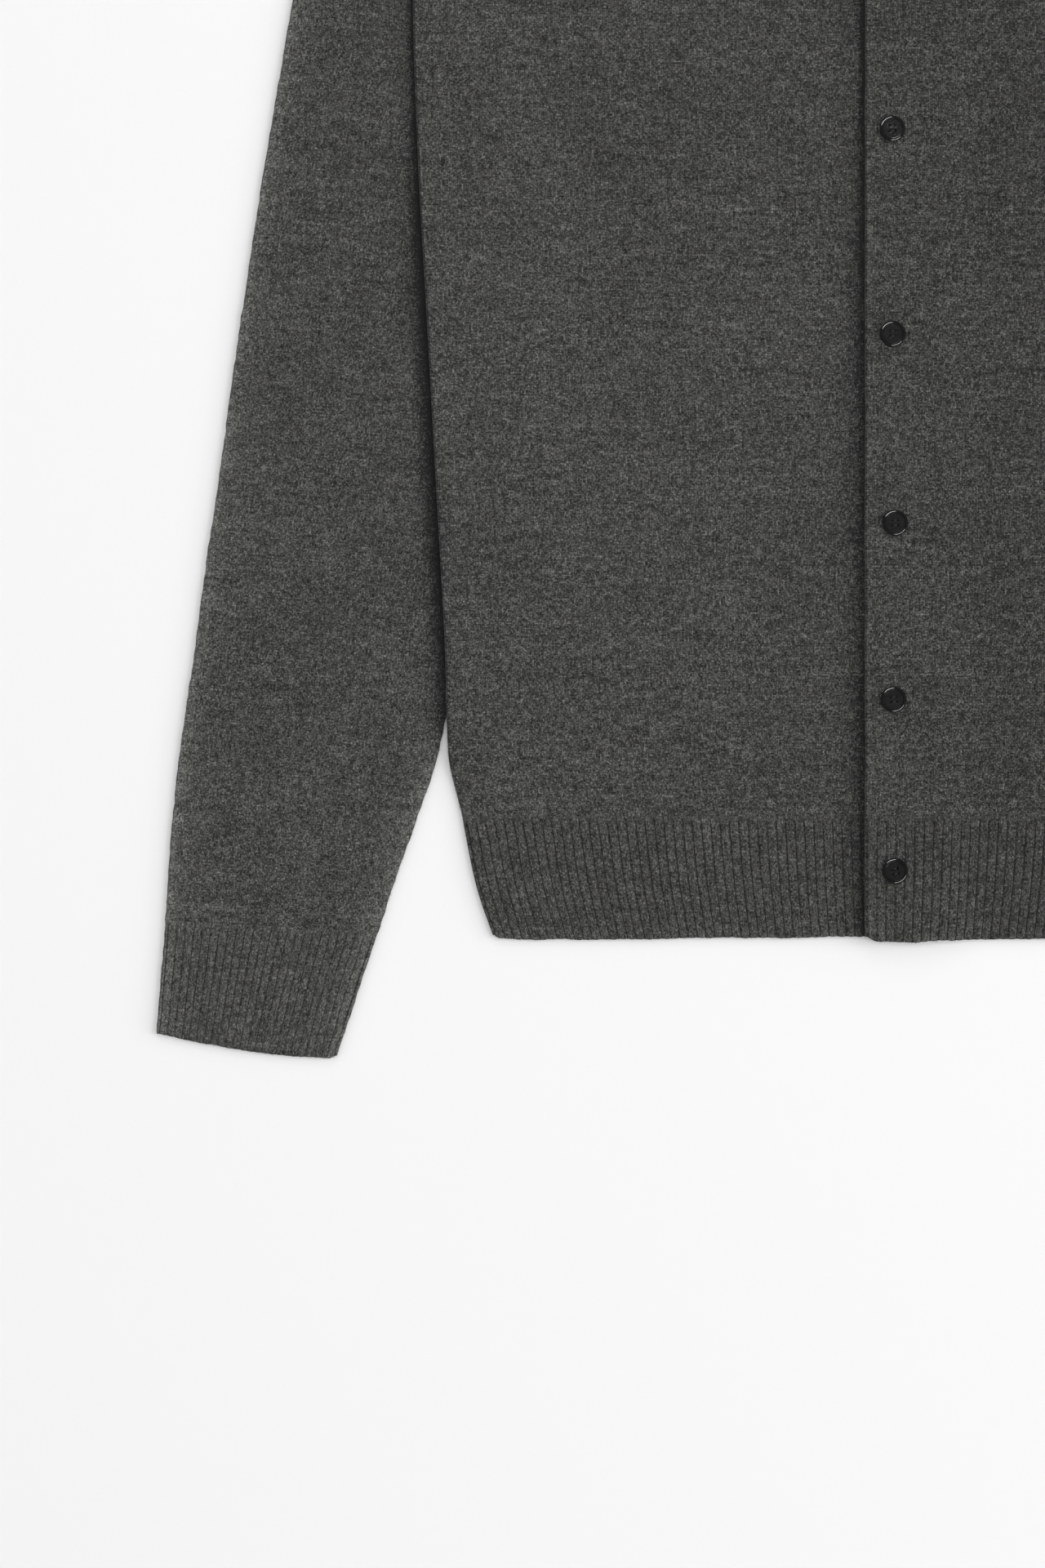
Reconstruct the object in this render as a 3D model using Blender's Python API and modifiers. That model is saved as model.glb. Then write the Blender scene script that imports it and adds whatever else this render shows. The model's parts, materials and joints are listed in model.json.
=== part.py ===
"""A knitted button cardigan laid flat, face up, on a surface: each piece as the knitter makes it.

Lengths in the tables and constants are millimetres. x runs to the wearer's left, y runs up from the
hem line and z is up from the surface. place() moves the origin to the middle of the garment's outline
and turns millimetres into metres.
"""

import math

import bmesh
import bpy
import numpy as np

MM = 0.001
JERSEY_WALL = 1.5
RIB_WALL = 1.8
SEAM_GAP = 0.3
SIDE_GAP = 0.4  # at the side seam, which runs up a slope
CORNER_GAP = 0.7  # at the shoulder seam, which ends in a corner, and round the curve of the neckline
LAYER_RISE = RIB_WALL + SEAM_GAP  # from one layer of cloth to the one that lies on it
FOLD_RADIUS = LAYER_RISE / 2  # of the middle of the wall, where a layer turns into the next
FOLD_STEPS = 4  # facets in a half turn


def table(columns, *rows):
    """A table with named columns, as one tuple for each column."""
    return dict(zip(columns.split(), zip(*rows)))


# Body
MID_Y = 304.35  # half-way between the cuffs' low corners and the top of the neckband
HEM_SEAM_Y = 64.0
UNDERARM_Y = 528.0
LEVEL_Y = 572.5  # above it, the armhole's edges lie level
SHOULDER_X = 224.0
SHOULDER_Y = 617.0
NECK_X = 85.0
NECK_Y = 655.0
FRONT_NECK_Y = 530.0
BACK_NECK_Y = 636.0
FRONT_NECK_POWER = 2.2
BACK_NECK_POWER = 2.5
ARMHOLE_HOLLOW = 4.0
LAP_X = 13.6  # how far each front passes the centre line
FACING_WIDTH = 25.0
BODY_SIDE = table(
    "y half_width",
    (0, 207.8),
    (30, 217.0),
    (64, 223.8),
    (98, 231.2),
    (149, 232.8),
    (234, 237.4),
    (319, 242.1),
    (404, 246.8),
    (489, 249.5),
    (528, 249.6),
)
# How far the hem's edge wanders from its line
HEM_EDGE = table(
    "x y",
    (-208, 1.2),
    (-190, 0),
    (-130, 0),
    (-98, 0.8),
    (-48, 0.8),
    (-22, 1.7),
    (-14, 1.7),
    (-8, -0.9),
    (5, -1.3),
    (30, -0.4),
    (90, 0.4),
    (208, 1.2),
)

# Sections across the sleeve from the armhole to the cuff, and across the cuff
SLEEVE = table(
    "outer_x outer_y inner_x inner_y",
    (225.3, 617, 250.3, 528),
    (250, 609, 250.3, 520),
    (272, 595, 250.3, 511),
    (288, 571, 250.3, 501),
    (299, 543, 250.0, 490),
    (307.7, 510.6, 243, 476),
    (313.5, 480, 231, 461),
    (326.4, 404.3, 205, 404),
    (339.6, 319, 197, 318),
    (351.5, 234, 205, 226),
    (357, 197, 212, 190),
    (363.4, 149, 222, 148),
    (368.5, 115, 231.8, 115),
    (371.5, 92, 237.6, 91),
    (374.5, 64, 247.5, 62),
    (376.7, 37, 257, 35),
    (378.3, 9.9, 267.6, 3.3),
)
CUFF = table(
    "outer_x outer_y inner_x inner_y",
    (378.4, 9.6, 267.8, 3.0),
    (380.6, -21.0, 277.6, -26.0),
    (383.0, -48.9, 289.0, -62.6),
)
CUFF_BOW = 2.5  # how far the middle of the cuff's end passes its corners
SLEEVE_STATIONS = (0.25, 0.5, 0.75)  # across each layer of the sleeve
ARMHOLE_FADE = 4  # sections over which the armhole's curve dies away down the sleeve

# The fronts: the layer that each has where they lap, and the distances from the centre line over which it
# rises there
FRONTS = {
    "right": {"side": -1, "main_layer": 2, "rise_start": 29.0, "rise_end": 14.0},
    "left": {"side": 1, "main_layer": 4, "rise_start": 50.0, "rise_end": 14.0},
}

# How the body's sides lie over the sleeves: the width that is lifted, and how much of the full height
RIDE_HEIGHT = 2 * LAYER_RISE
RIDE_FALL = 45.0
RIDE = table(
    "y width share",
    (80, 6, 0),
    (118, 8, 1),
    (165, 22, 1),
    (213, 34, 1),
    (277, 46, 1),
    (340, 52, 1),
    (404, 49, 1),
    (435, 42, 1),
    (465, 30, 1),
    (491, 12, 1),
    (528, 8, 0),
)

# Neckband
BAND_WIDTH = 24.0
BAND_LEAN = math.radians(52)  # how far the band leans inwards at the shoulder
BAND_ROWS = 2

# Buttons: half a section, from the centre of the face over the rim to the centre of the back
BUTTON = table(
    "radius height",
    (0, 1.75),
    (5.1, 1.75),
    (5.55, 2.4),
    (6.35, 2.4),
    (6.75, 1.7),
    (6.15, 0),
    (0, 0),
)
BUTTON_FACETS = 24
HOLE_RADIUS = 0.65
HOLE_SPREAD = 1.4  # from the button's axis to a hole's axis, along x and along y
HOLE_FACETS = 8
BUTTONS = table(
    "x y",
    (0.0, 542.0),
    (-0.4, 421.0),
    (-0.2, 314.5),
    (1.1, 216.4),
    (0.3, 124.7),
    (1.1, 35.7),
)

# Sections of the panels
SIDE_COLUMNS = (14, 30, 48, 68, 90)  # in from the side
FRONT_COLUMNS = (90, 85, 68, 50, 41, 32, 23, 14, 0)  # from the centre line
BACK_COLUMNS = (90, 85, 57, 28, 0)
PANEL_ROWS = (64.15, 80, 93, 106, 119, 165, 213, 277, 340, 404, 435, 465, 491, 503, 528)
STRETCH_Y = 503.0  # above it, rows spread to reach the neckline and the shoulder
RIB_ROWS = (0, 32, 63.85)


def ease(t):
    """0 up to t = 0 and 1 from t = 1, smooth between."""
    t = min(max(t, 0.0), 1.0)
    return t * t * (3 - 2 * t)


def read(rows, key, name, at):
    """The named column where the key column is `at`, on a smooth curve that never overshoots its rows."""
    keys = np.array(rows[key], float)
    values = np.array(rows[name], float)
    at = min(max(at, keys[0]), keys[-1])
    i = min(int(np.searchsorted(keys, at, "right")) - 1, len(keys) - 2)
    steps = np.diff(keys)
    slopes = np.diff(values) / steps
    ends = np.concatenate([slopes[:1], slopes, slopes[-1:]])
    product = ends[:-1] * ends[1:]
    tangents = np.where(product > 0, 2 * product / np.where(product > 0, ends[:-1] + ends[1:], 1), 0)
    t = (at - keys[i]) / steps[i]
    rise = values[i] + (values[i + 1] - values[i]) * t * t * (3 - 2 * t)
    bend = t * (1 - t) * ((1 - t) * tangents[i] - t * tangents[i + 1])
    return float(rise + bend * steps[i])


def place(point):
    x, y, z = point
    return (x * MM, (y - MID_Y) * MM, z * MM)


def layer_z(layer, wall):
    """Height of the middle of a wall in the given layer, counted from the surface."""
    return wall / 2 + layer * LAYER_RISE


# Outline of the body


def armhole_x(y):
    t = (SHOULDER_Y - y) / (SHOULDER_Y - UNDERARM_Y)
    straight = SHOULDER_X + (BODY_SIDE["half_width"][-1] - SHOULDER_X) * t
    return straight - ARMHOLE_HOLLOW * math.sin(math.pi * min(max(t, 0), 1))


def half_width(y):
    if y <= UNDERARM_Y:
        return read(BODY_SIDE, "y", "half_width", y)
    return armhole_x(y)


def top_y(x, neck_y, power):
    """Top edge of a panel: the neckline, then the sloping shoulder."""
    x = abs(x)
    if x <= NECK_X:
        return neck_y + (NECK_Y - neck_y) * (x / NECK_X) ** power
    return NECK_Y + (SHOULDER_Y - NECK_Y) * (x - NECK_X) / (SHOULDER_X - NECK_X)


def neck_normal(x, neck_y, power):
    """Unit vector in plan that points into the neck opening from the neckline."""
    slope = (NECK_Y - neck_y) * power / NECK_X * (abs(x) / NECK_X) ** (power - 1)
    return np.array([-math.copysign(slope, x), 1]) / math.hypot(slope, 1)


def front_top_y(x):
    return top_y(x, FRONT_NECK_Y, FRONT_NECK_POWER)


def back_top_y(x):
    return top_y(x, BACK_NECK_Y, BACK_NECK_POWER)


def ride(x, y):
    """How far the sleeve underneath lifts the body."""
    past_sleeve = half_width(y) - abs(x) - read(RIDE, "y", "width", y)
    return RIDE_HEIGHT * read(RIDE, "y", "share", y) * (1 - ease(past_sleeve / RIDE_FALL))


# Meshes


def grid_object(name, columns, rows, point_at, wall, material, closed=False, mirrored=False):
    """A grid of columns by rows, each point put in its place by point_at(column, row), then given its wall.

    A closed grid's last column is its first, and a mirrored one is half of its piece.
    """
    mesh = bpy.data.meshes.new(name)
    shape = bmesh.new()
    bmesh.ops.create_grid(shape, x_segments=columns - 1, y_segments=rows - 1, size=1)
    for vertex in shape.verts:
        column = round((vertex.co.x + 1) / 2 * (columns - 1))
        row = round((vertex.co.y + 1) / 2 * (rows - 1))
        if closed and column == columns - 1:
            column = 0
        vertex.co = place(point_at(column, row))
    if closed:
        bmesh.ops.remove_doubles(shape, verts=shape.verts, dist=1e-6)
    shape.to_mesh(mesh)
    shape.free()
    mesh.shade_smooth()
    obj = bpy.data.objects.new(name, mesh)
    parts.objects.link(obj)
    obj.data.materials.append(material)
    if mirrored:
        mirror = obj.modifiers.new("Other half", "MIRROR")
        mirror.merge_threshold = 1e-5
    solidify = obj.modifiers.new("Wall", "SOLIDIFY")
    solidify.thickness = wall * MM
    solidify.offset = 0
    return obj


def quarter_turn(gap):
    """Points from the seam, where the wall stands upright, to where it lies level.

    Each is (inwards, upwards, inwards where the edge is left level).
    """
    seam = gap / 2 - FOLD_RADIUS
    return [(0, seam, 0), (0, -FOLD_RADIUS / 2, FOLD_RADIUS / 2), (FOLD_RADIUS / 2, 0, FOLD_RADIUS)]


def side_fold_share(y):
    """1 where the front and back meet round the side, 0 up the armhole, where their edges lie level."""
    return ease((LEVEL_Y - y) / (LEVEL_Y - UNDERARM_Y))


def panel_rows(rib):
    """Each row as (height beside the armhole, its point of the quarter turn at the top edge or None)."""
    if rib:
        return [(y, None) for y in RIB_ROWS]
    rows = [(y, None) for y in PANEL_ROWS]
    rows += [(SHOULDER_Y + (UNDERARM_Y - SHOULDER_Y) * q, None) for q in SLEEVE_STATIONS[::-1]]
    return rows + [(SHOULDER_Y, turn) for turn in quarter_turn(CORNER_GAP)[::-1]]


def spread_y(row, x, top_of):
    """The row's height at x: rows at the top follow the neckline, level, and the shoulder, turned."""
    y, turn = row
    if turn and abs(x) > NECK_X:
        return top_of(x) - JERSEY_WALL / 2 - turn[0]
    if turn:
        return top_of(x) - turn[2]
    if y <= STRETCH_Y:
        return y
    return STRETCH_Y + (y - STRETCH_Y) * (top_of(x) - STRETCH_Y) / (SHOULDER_Y - STRETCH_Y)


def side_point(turn, row, top_of, side):
    """(x, y, lift) of a point on the quarter turn at the body's side."""
    inwards, upwards, level = turn
    y = spread_y(row, SHOULDER_X, top_of)
    share = side_fold_share(y)
    inwards = (JERSEY_WALL / 2 + inwards) * share + level * (1 - share)
    return side * (half_width(y) - inwards), y, upwards * share


def panel_point(column, row, top_of, side):
    """(x, y, lift) on a column of the panel, where the lift is that of a turned edge.

    A column is ("fold", point of the quarter turn), ("side", distance in from the side) or
    ("line", distance from the centre line).
    """
    kind, value = column
    if kind == "fold":
        x, y, lift = side_point(value, row, top_of, side)
    elif kind == "side":
        y = row[0]
        for _ in range(3):
            x = side * (half_width(y) - value)
            y = spread_y(row, x, top_of)
        lift = 0
    else:
        x = side * value
        y = spread_y(row, x, top_of)
        lift = 0
    if row[1] and abs(x) > NECK_X:
        lift = min(lift, row[1][1])
    return x, y, lift


def with_hem(x, y):
    """Lets the hem's edge wander; nothing moves at the seam with the panel."""
    return y + read(HEM_EDGE, "x", "y", x) * (1 - min(y / HEM_SEAM_Y, 1))


def make_back(name, rib, material):
    wall = RIB_WALL if rib else JERSEY_WALL
    columns = [("fold", turn) for turn in quarter_turn(SIDE_GAP)]
    columns += [("side", d) for d in SIDE_COLUMNS]
    columns += [("line", d) for d in BACK_COLUMNS]
    rows = panel_rows(rib)

    def point_at(i, j):
        x, y, lift = panel_point(columns[i], rows[j], back_top_y, -1)
        y = with_hem(x, y)
        return x, y, layer_z(0, wall) - lift + ride(x, y)

    return grid_object(name, len(columns), len(rows), point_at, wall, material, mirrored=True)


def front_layer(x, front):
    """A front lies on the back and rises to its own layer towards the lap."""
    reach = (front["rise_start"] - x * front["side"]) / (front["rise_start"] - front["rise_end"])
    return 1 + (front["main_layer"] - 1) * ease(reach)


def make_front(name, front, rib, material):
    """Side fold, panel, turn at the front edge and the facing under it."""
    wall = RIB_WALL if rib else JERSEY_WALL
    columns = [("fold", turn) for turn in quarter_turn(SIDE_GAP)]
    columns += [("side", d) for d in SIDE_COLUMNS]
    columns += [("line", d) for d in FRONT_COLUMNS]
    turns = [("turn", math.pi * i / FOLD_STEPS) for i in range(FOLD_STEPS + 1)]
    columns += turns + [("facing", FACING_WIDTH - LAP_X)]
    rows = panel_rows(rib)
    side = front["side"]
    turn_x = LAP_X - JERSEY_WALL / 2 - FOLD_RADIUS

    def point_at(i, j):
        kind, value = columns[i]
        row = rows[j]
        if kind == "turn":
            x = -side * (turn_x + FOLD_RADIUS * math.sin(value))
            z = layer_z(front["main_layer"], wall) - FOLD_RADIUS * (1 - math.cos(value))
            y = spread_y(row, -side * turn_x, front_top_y)
        elif kind == "facing":
            x = side * value
            z = layer_z(front["main_layer"] - 1, wall)
            y = spread_y(row, x, front_top_y)
        else:
            x, y, lift = panel_point(columns[i], row, front_top_y, side)
            z = layer_z(front_layer(x, front), wall) + lift
        y = with_hem(x, y)
        return x, y, z + ride(x, y)

    return grid_object(name, len(columns), len(rows), point_at, wall, material)


def edge_normals(sections, end):
    """The outer or inner ends of the sections, each with the unit vector in plan that points outwards."""
    points = np.array([sections[end + "_x"], sections[end + "_y"]], float).T
    along = np.gradient(points, axis=0)
    along /= np.linalg.norm(along, axis=1)[:, None]
    turn = 1 if end == "inner" else -1
    return points, np.stack([along[:, 1], -along[:, 0]], axis=1) * turn


def half_turn(centre, outwards, middle_z, down):
    """Points round a fold of the flattened tube: from the top layer to the bottom one, or back up."""
    points = []
    for i in range(FOLD_STEPS + 1):
        angle = math.pi * (0.5 - i / FOLD_STEPS)
        x, y = centre + outwards * FOLD_RADIUS * math.cos(angle)
        points.append((x, y, middle_z + down * FOLD_RADIUS * math.sin(angle)))
    return points


def tube_sections(sections, wall, bow=0.0, from_armhole=False):
    """Each section as its points (x, y, z) round the flattened tube."""
    outer, outer_normals = edge_normals(sections, "outer")
    inner, inner_normals = edge_normals(sections, "inner")
    inset = FOLD_RADIUS + wall / 2
    starts = outer - outer_normals * inset
    ends = inner - inner_normals * inset
    armhole_moves = [np.zeros(2)] * len(SLEEVE_STATIONS)
    if from_armhole:
        heights = [SHOULDER_Y + (UNDERARM_Y - SHOULDER_Y) * q for q in SLEEVE_STATIONS]
        seam = [np.array([armhole_x(y) + SEAM_GAP, y]) for y in heights]
        straight = [starts[0] + (ends[0] - starts[0]) * q for q in SLEEVE_STATIONS]
        armhole_moves = [a - b for a, b in zip(seam, straight)]
    rings = []
    for k in range(len(outer)):
        layer = []
        for q, move in zip(SLEEVE_STATIONS, armhole_moves):
            x, y = starts[k] + (ends[k] - starts[k]) * q + move * max(0, 1 - k / ARMHOLE_FADE)
            if k == len(outer) - 1:
                y -= bow * math.sin(math.pi * q)
            layer.append((x, y))
        ring = half_turn(starts[k], outer_normals[k], layer_z(0.5, wall), 1)
        ring += [(x, y, layer_z(0, wall)) for x, y in layer]
        ring += half_turn(ends[k], inner_normals[k], layer_z(0.5, wall), -1)
        ring += [(x, y, layer_z(1, wall)) for x, y in layer[::-1]]
        rings.append(ring)
    return rings


def make_tube(name, rings, side, wall, material):
    def point_at(i, j):
        x, y, z = rings[j][i]
        return side * x, y, z

    return grid_object(name, len(rings[0]) + 1, len(rings), point_at, wall, material, closed=True)


def band_stations():
    """The neckband from its upper end at the centre front, round the neck, to its lower end.

    Each is (x, "upper", "back" or "under", angle round the fold at the shoulder or None).
    """
    lap = LAP_X - JERSEY_WALL / 2
    front = [d for d in FRONT_COLUMNS if d < NECK_X][::-1]
    turn = [math.pi * (0.5 - i / FOLD_STEPS) for i in range(FOLD_STEPS + 1)]
    across = [d for d in BACK_COLUMNS if d < NECK_X]
    stations = [(-lap, "upper", None)] + [(d, "upper", None) for d in front]
    stations += [(NECK_X, "upper", a) for a in turn]
    stations += [(d, "back", None) for d in across] + [(-d, "back", None) for d in across[-2::-1]]
    stations += [(-NECK_X, "under", -a) for a in turn]
    return stations + [(-d, "under", None) for d in front[::-1]] + [(lap, "under", None)]


def make_neckband(material):
    stations = band_stations()
    middle = layer_z(0.5, RIB_WALL)

    def point_at(i, j):
        x, part, turn = stations[i]
        side = 1 if x > 0 else -1
        share = abs(x) / NECK_X
        if part == "back":
            seam = np.array([x, back_top_y(x)])
            normal = neck_normal(x, BACK_NECK_Y, BACK_NECK_POWER)
            lean = BAND_LEAN * share**2
            z = layer_z(0, RIB_WALL)
        else:
            seam = np.array([x, front_top_y(x)])
            normal = neck_normal(x, FRONT_NECK_Y, FRONT_NECK_POWER)
            lean = BAND_LEAN * share**1.5
            front = FRONTS["left" if part == "upper" else "right"]
            z = layer_z(front_layer(x, front), RIB_WALL)
        inwards = np.array([-side * math.sin(lean), math.cos(lean)])
        near = seam + normal * CORNER_GAP
        point = near + (seam + inwards * BAND_WIDTH - near) * j / BAND_ROWS
        if turn is not None:
            outwards = np.array([side * math.cos(lean), math.sin(lean)])
            point += outwards * FOLD_RADIUS * math.cos(turn)
            z = middle + FOLD_RADIUS * math.sin(turn)
        return point[0], point[1], z

    return grid_object("neckband", len(stations), BAND_ROWS + 1, point_at, RIB_WALL, material)


def make_button_mesh():
    """Half the outline of a section through the button, to be turned about its axis."""
    mesh = bpy.data.meshes.new("button")
    shape = bmesh.new()
    verts = [shape.verts.new((r * MM, 0, z * MM)) for r, z in zip(BUTTON["radius"], BUTTON["height"])]
    for a, b in zip(verts, verts[1:]):
        shape.edges.new((a, b))
    shape.to_mesh(mesh)
    shape.free()
    return mesh


def make_button_cutter():
    """Four pins that go right through the button."""
    shape = bmesh.new()
    spread = HOLE_SPREAD * MM
    for x, y in ((-spread, -spread), (spread, -spread), (spread, spread), (-spread, spread)):
        pin = bmesh.ops.create_cone(
            shape,
            cap_ends=True,
            segments=HOLE_FACETS,
            radius1=HOLE_RADIUS * MM,
            radius2=HOLE_RADIUS * MM,
            depth=3 * max(BUTTON["height"]) * MM,
        )
        bmesh.ops.translate(shape, verts=pin["verts"], vec=(x, y, 0))
    mesh = bpy.data.meshes.new("button_holes")
    shape.to_mesh(mesh)
    shape.free()
    return mesh


def make_buttons(material):
    mesh = make_button_mesh()
    mesh.materials.append(material)
    cutter_mesh = make_button_cutter()
    left = FRONTS["left"]
    for i, (x, y) in enumerate(zip(BUTTONS["x"], BUTTONS["y"])):
        wall = RIB_WALL if y < HEM_SEAM_Y or y > FRONT_NECK_Y else JERSEY_WALL
        seat = layer_z(left["main_layer"], wall) + wall / 2 + SEAM_GAP
        button = bpy.data.objects.new(f"button_{i + 1}", mesh)
        button.location = place((x, y, seat))
        parts.objects.link(button)
        cutter = bpy.data.objects.new(f"button_holes_{i + 1}", cutter_mesh)
        cutter.location = button.location
        cutter.hide_render = True
        cutter.display_type = "WIRE"
        cutters.objects.link(cutter)
        screw = button.modifiers.new("Turned", "SCREW")
        screw.axis = "Z"
        screw.steps = BUTTON_FACETS
        screw.render_steps = BUTTON_FACETS
        screw.use_merge_vertices = True
        screw.merge_threshold = 1e-5
        holes = button.modifiers.new("Holes", "BOOLEAN")
        holes.operation = "DIFFERENCE"
        holes.solver = "EXACT"
        holes.object = cutter


def make_material(name, colour, roughness):
    material = bpy.data.materials.new(name)
    material.use_nodes = True
    shader = material.node_tree.nodes["Principled BSDF"]
    shader.inputs["Base Color"].default_value = (*colour, 1)
    shader.inputs["Roughness"].default_value = roughness
    shader.inputs["Metallic"].default_value = 0
    material.diffuse_color = (*colour, 1)
    return material


def make_collection(name):
    collection = bpy.data.collections.new(name)
    bpy.context.scene.collection.children.link(collection)
    return collection


for old in list(bpy.data.objects):
    bpy.data.objects.remove(old)

parts = make_collection("button_cardigan")
cutters = make_collection("cutters")
jersey = make_material("charcoal_jersey", (0.065, 0.065, 0.062), 0.95)
rib_knit = make_material("charcoal_rib", (0.06, 0.06, 0.058), 0.95)
horn = make_material("dark_button", (0.012, 0.013, 0.012), 0.3)

make_back("back", False, jersey)
make_back("back_hem_rib", True, rib_knit)
for hand, front in FRONTS.items():
    make_front(f"front_{hand}", front, False, jersey)
    make_front(f"front_{hand}_hem_rib", front, True, rib_knit)
    sleeve = tube_sections(SLEEVE, JERSEY_WALL, from_armhole=True)
    make_tube(f"sleeve_{hand}", sleeve, front["side"], JERSEY_WALL, jersey)
    cuff = tube_sections(CUFF, RIB_WALL, bow=CUFF_BOW)
    make_tube(f"cuff_{hand}", cuff, front["side"], RIB_WALL, rib_knit)
make_neckband(rib_knit)
make_buttons(horn)
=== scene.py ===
import json
import math

import bmesh
import bpy
import numpy as np
from mathutils import Euler, Matrix

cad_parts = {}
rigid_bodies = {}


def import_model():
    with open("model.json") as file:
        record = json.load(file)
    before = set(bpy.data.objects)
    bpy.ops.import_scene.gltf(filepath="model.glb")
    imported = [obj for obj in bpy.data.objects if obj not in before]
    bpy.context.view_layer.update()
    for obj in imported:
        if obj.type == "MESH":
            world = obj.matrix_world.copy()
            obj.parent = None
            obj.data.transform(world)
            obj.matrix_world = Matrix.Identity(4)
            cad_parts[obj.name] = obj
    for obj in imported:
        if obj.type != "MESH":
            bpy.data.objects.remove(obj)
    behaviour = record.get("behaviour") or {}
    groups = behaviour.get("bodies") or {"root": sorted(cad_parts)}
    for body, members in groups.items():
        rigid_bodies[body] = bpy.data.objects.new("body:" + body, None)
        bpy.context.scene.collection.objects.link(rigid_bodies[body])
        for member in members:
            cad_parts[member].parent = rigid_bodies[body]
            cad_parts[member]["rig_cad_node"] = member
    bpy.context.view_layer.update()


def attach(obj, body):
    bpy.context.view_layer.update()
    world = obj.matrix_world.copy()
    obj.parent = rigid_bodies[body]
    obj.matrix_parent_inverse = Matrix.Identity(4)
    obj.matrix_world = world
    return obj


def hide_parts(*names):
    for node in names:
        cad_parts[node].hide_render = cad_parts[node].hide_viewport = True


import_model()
mm = 0.001


# tables and curves; every length in them is in millimetres

def table(columns, *rows):
    return dict(zip(columns.split(), np.array(rows, float).T))


def ease(t):
    t = np.clip(t, 0, 1)
    return t * t * (3 - 2 * t)


def read(rows, key, name, at):  # a smooth curve through a column, which never overshoots its rows
    keys = np.asarray(rows[key], float)
    values = np.asarray(rows[name], float)
    at = np.clip(at, keys[0], keys[-1])
    i = np.clip(np.searchsorted(keys, at, "right") - 1, 0, len(keys) - 2)
    steps = np.diff(keys)
    slopes = np.diff(values) / steps
    ends = np.concatenate([slopes[:1], slopes, slopes[-1:]])
    product = ends[:-1] * ends[1:]
    tangents = np.where(product > 0, 2 * product / np.where(product > 0, ends[:-1] + ends[1:], 1), 0)
    t = (at - keys[i]) / steps[i]
    rise = values[i] + (values[i + 1] - values[i]) * t * t * (3 - 2 * t)
    return rise + t * (1 - t) * ((1 - t) * tangents[i] - t * tangents[i + 1]) * steps[i]


def waves(x, y, seed, longest, shortest):  # gentle unevenness, nearly all between -1 and 1, the same on each run
    draw = np.random.default_rng(seed)
    count, total = 7, 0
    for k in range(count):
        length = longest * (shortest / longest) ** (k / (count - 1))
        turn, phase = draw.uniform(0, 2 * math.pi, 2)
        total = total + np.sin(2 * math.pi * (x * math.cos(turn) + y * math.sin(turn)) / length + phase)
    return total / 4


def runAlong(points):  # the distance from the first point to each of them
    return np.concatenate([[0], np.cumsum(np.linalg.norm(np.diff(points, axis=0), axis=1))])


def unit(vectors):
    return vectors / np.linalg.norm(vectors, axis=1)[:, None]


# node helpers

def plug(tree, value, socket):
    if isinstance(value, bpy.types.NodeSocket):
        tree.links.new(value, socket)
    elif value is not None:
        socket.default_value = value


def addNode(tree, kind, *values, **settings):  # the values go to its sockets in their order
    node = tree.nodes.new("ShaderNode" + kind)
    for key, value in settings.items():
        setattr(node, key, value)
    for value, socket in zip(values, node.inputs):
        plug(tree, value, socket)
    return node


def maths(tree, operation, *values):
    return addNode(tree, "Math", *values, operation=operation).outputs[0]


def vectorMaths(tree, operation, *values):
    return addNode(tree, "VectorMath", *values, operation=operation).outputs[0]


def shorthands(tree, *operations):  # one function for each, so that sums in this tree read as sums
    return [lambda a, b, operation=operation: maths(tree, operation, a, b) for operation in operations]


def attribute(tree, name):
    return addNode(tree, "Attribute", attribute_name=name).outputs["Fac"]


def noise(tree, vector, scale, detail=2.0, rough=0.5, squeeze=None, output="Fac"):
    if squeeze:
        vector = vectorMaths(tree, "MULTIPLY", vector, squeeze)
    return addNode(tree, "TexNoise", vector, None, scale, detail, rough).outputs[output]


def blended(tree, share, dark, pale):
    return addNode(tree, "Mix", share, *[None] * 5, (*dark, 1), (*pale, 1), data_type="RGBA").outputs[2]


def newMaterial(name, **finish):
    material = bpy.data.materials.new(name)
    material.use_nodes = True
    inputs = material.node_tree.nodes["Principled BSDF"].inputs
    for key, value in finish.items():
        inputs[key].default_value = value
    return material, material.node_tree, inputs


def addBump(tree, shader, height, distance, strength=1.0):
    node = addNode(tree, "Bump")
    for key, value in (("Distance", distance), ("Strength", strength), ("Height", height)):
        plug(tree, value, node.inputs[key])
    plug(tree, node.outputs[0], shader["Normal"])


def newGroup(name, inputs, outputs):
    group = bpy.data.node_groups.new(name, "ShaderNodeTree")
    for label, kind, value in inputs:
        socket = group.interface.new_socket(label, in_out="INPUT", socket_type="NodeSocket" + kind)
        if value is not None:
            socket.default_value = value
    for label, kind in outputs:
        group.interface.new_socket(label, in_out="OUTPUT", socket_type="NodeSocket" + kind)
    return group, group.nodes.new("NodeGroupInput").outputs, group.nodes.new("NodeGroupOutput").inputs


def useGroup(tree, group, **values):
    node = addNode(tree, "Group", node_tree=group)
    for key, value in values.items():
        plug(tree, value, node.inputs[key])
    return node.outputs


# camera, light and floor

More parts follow.
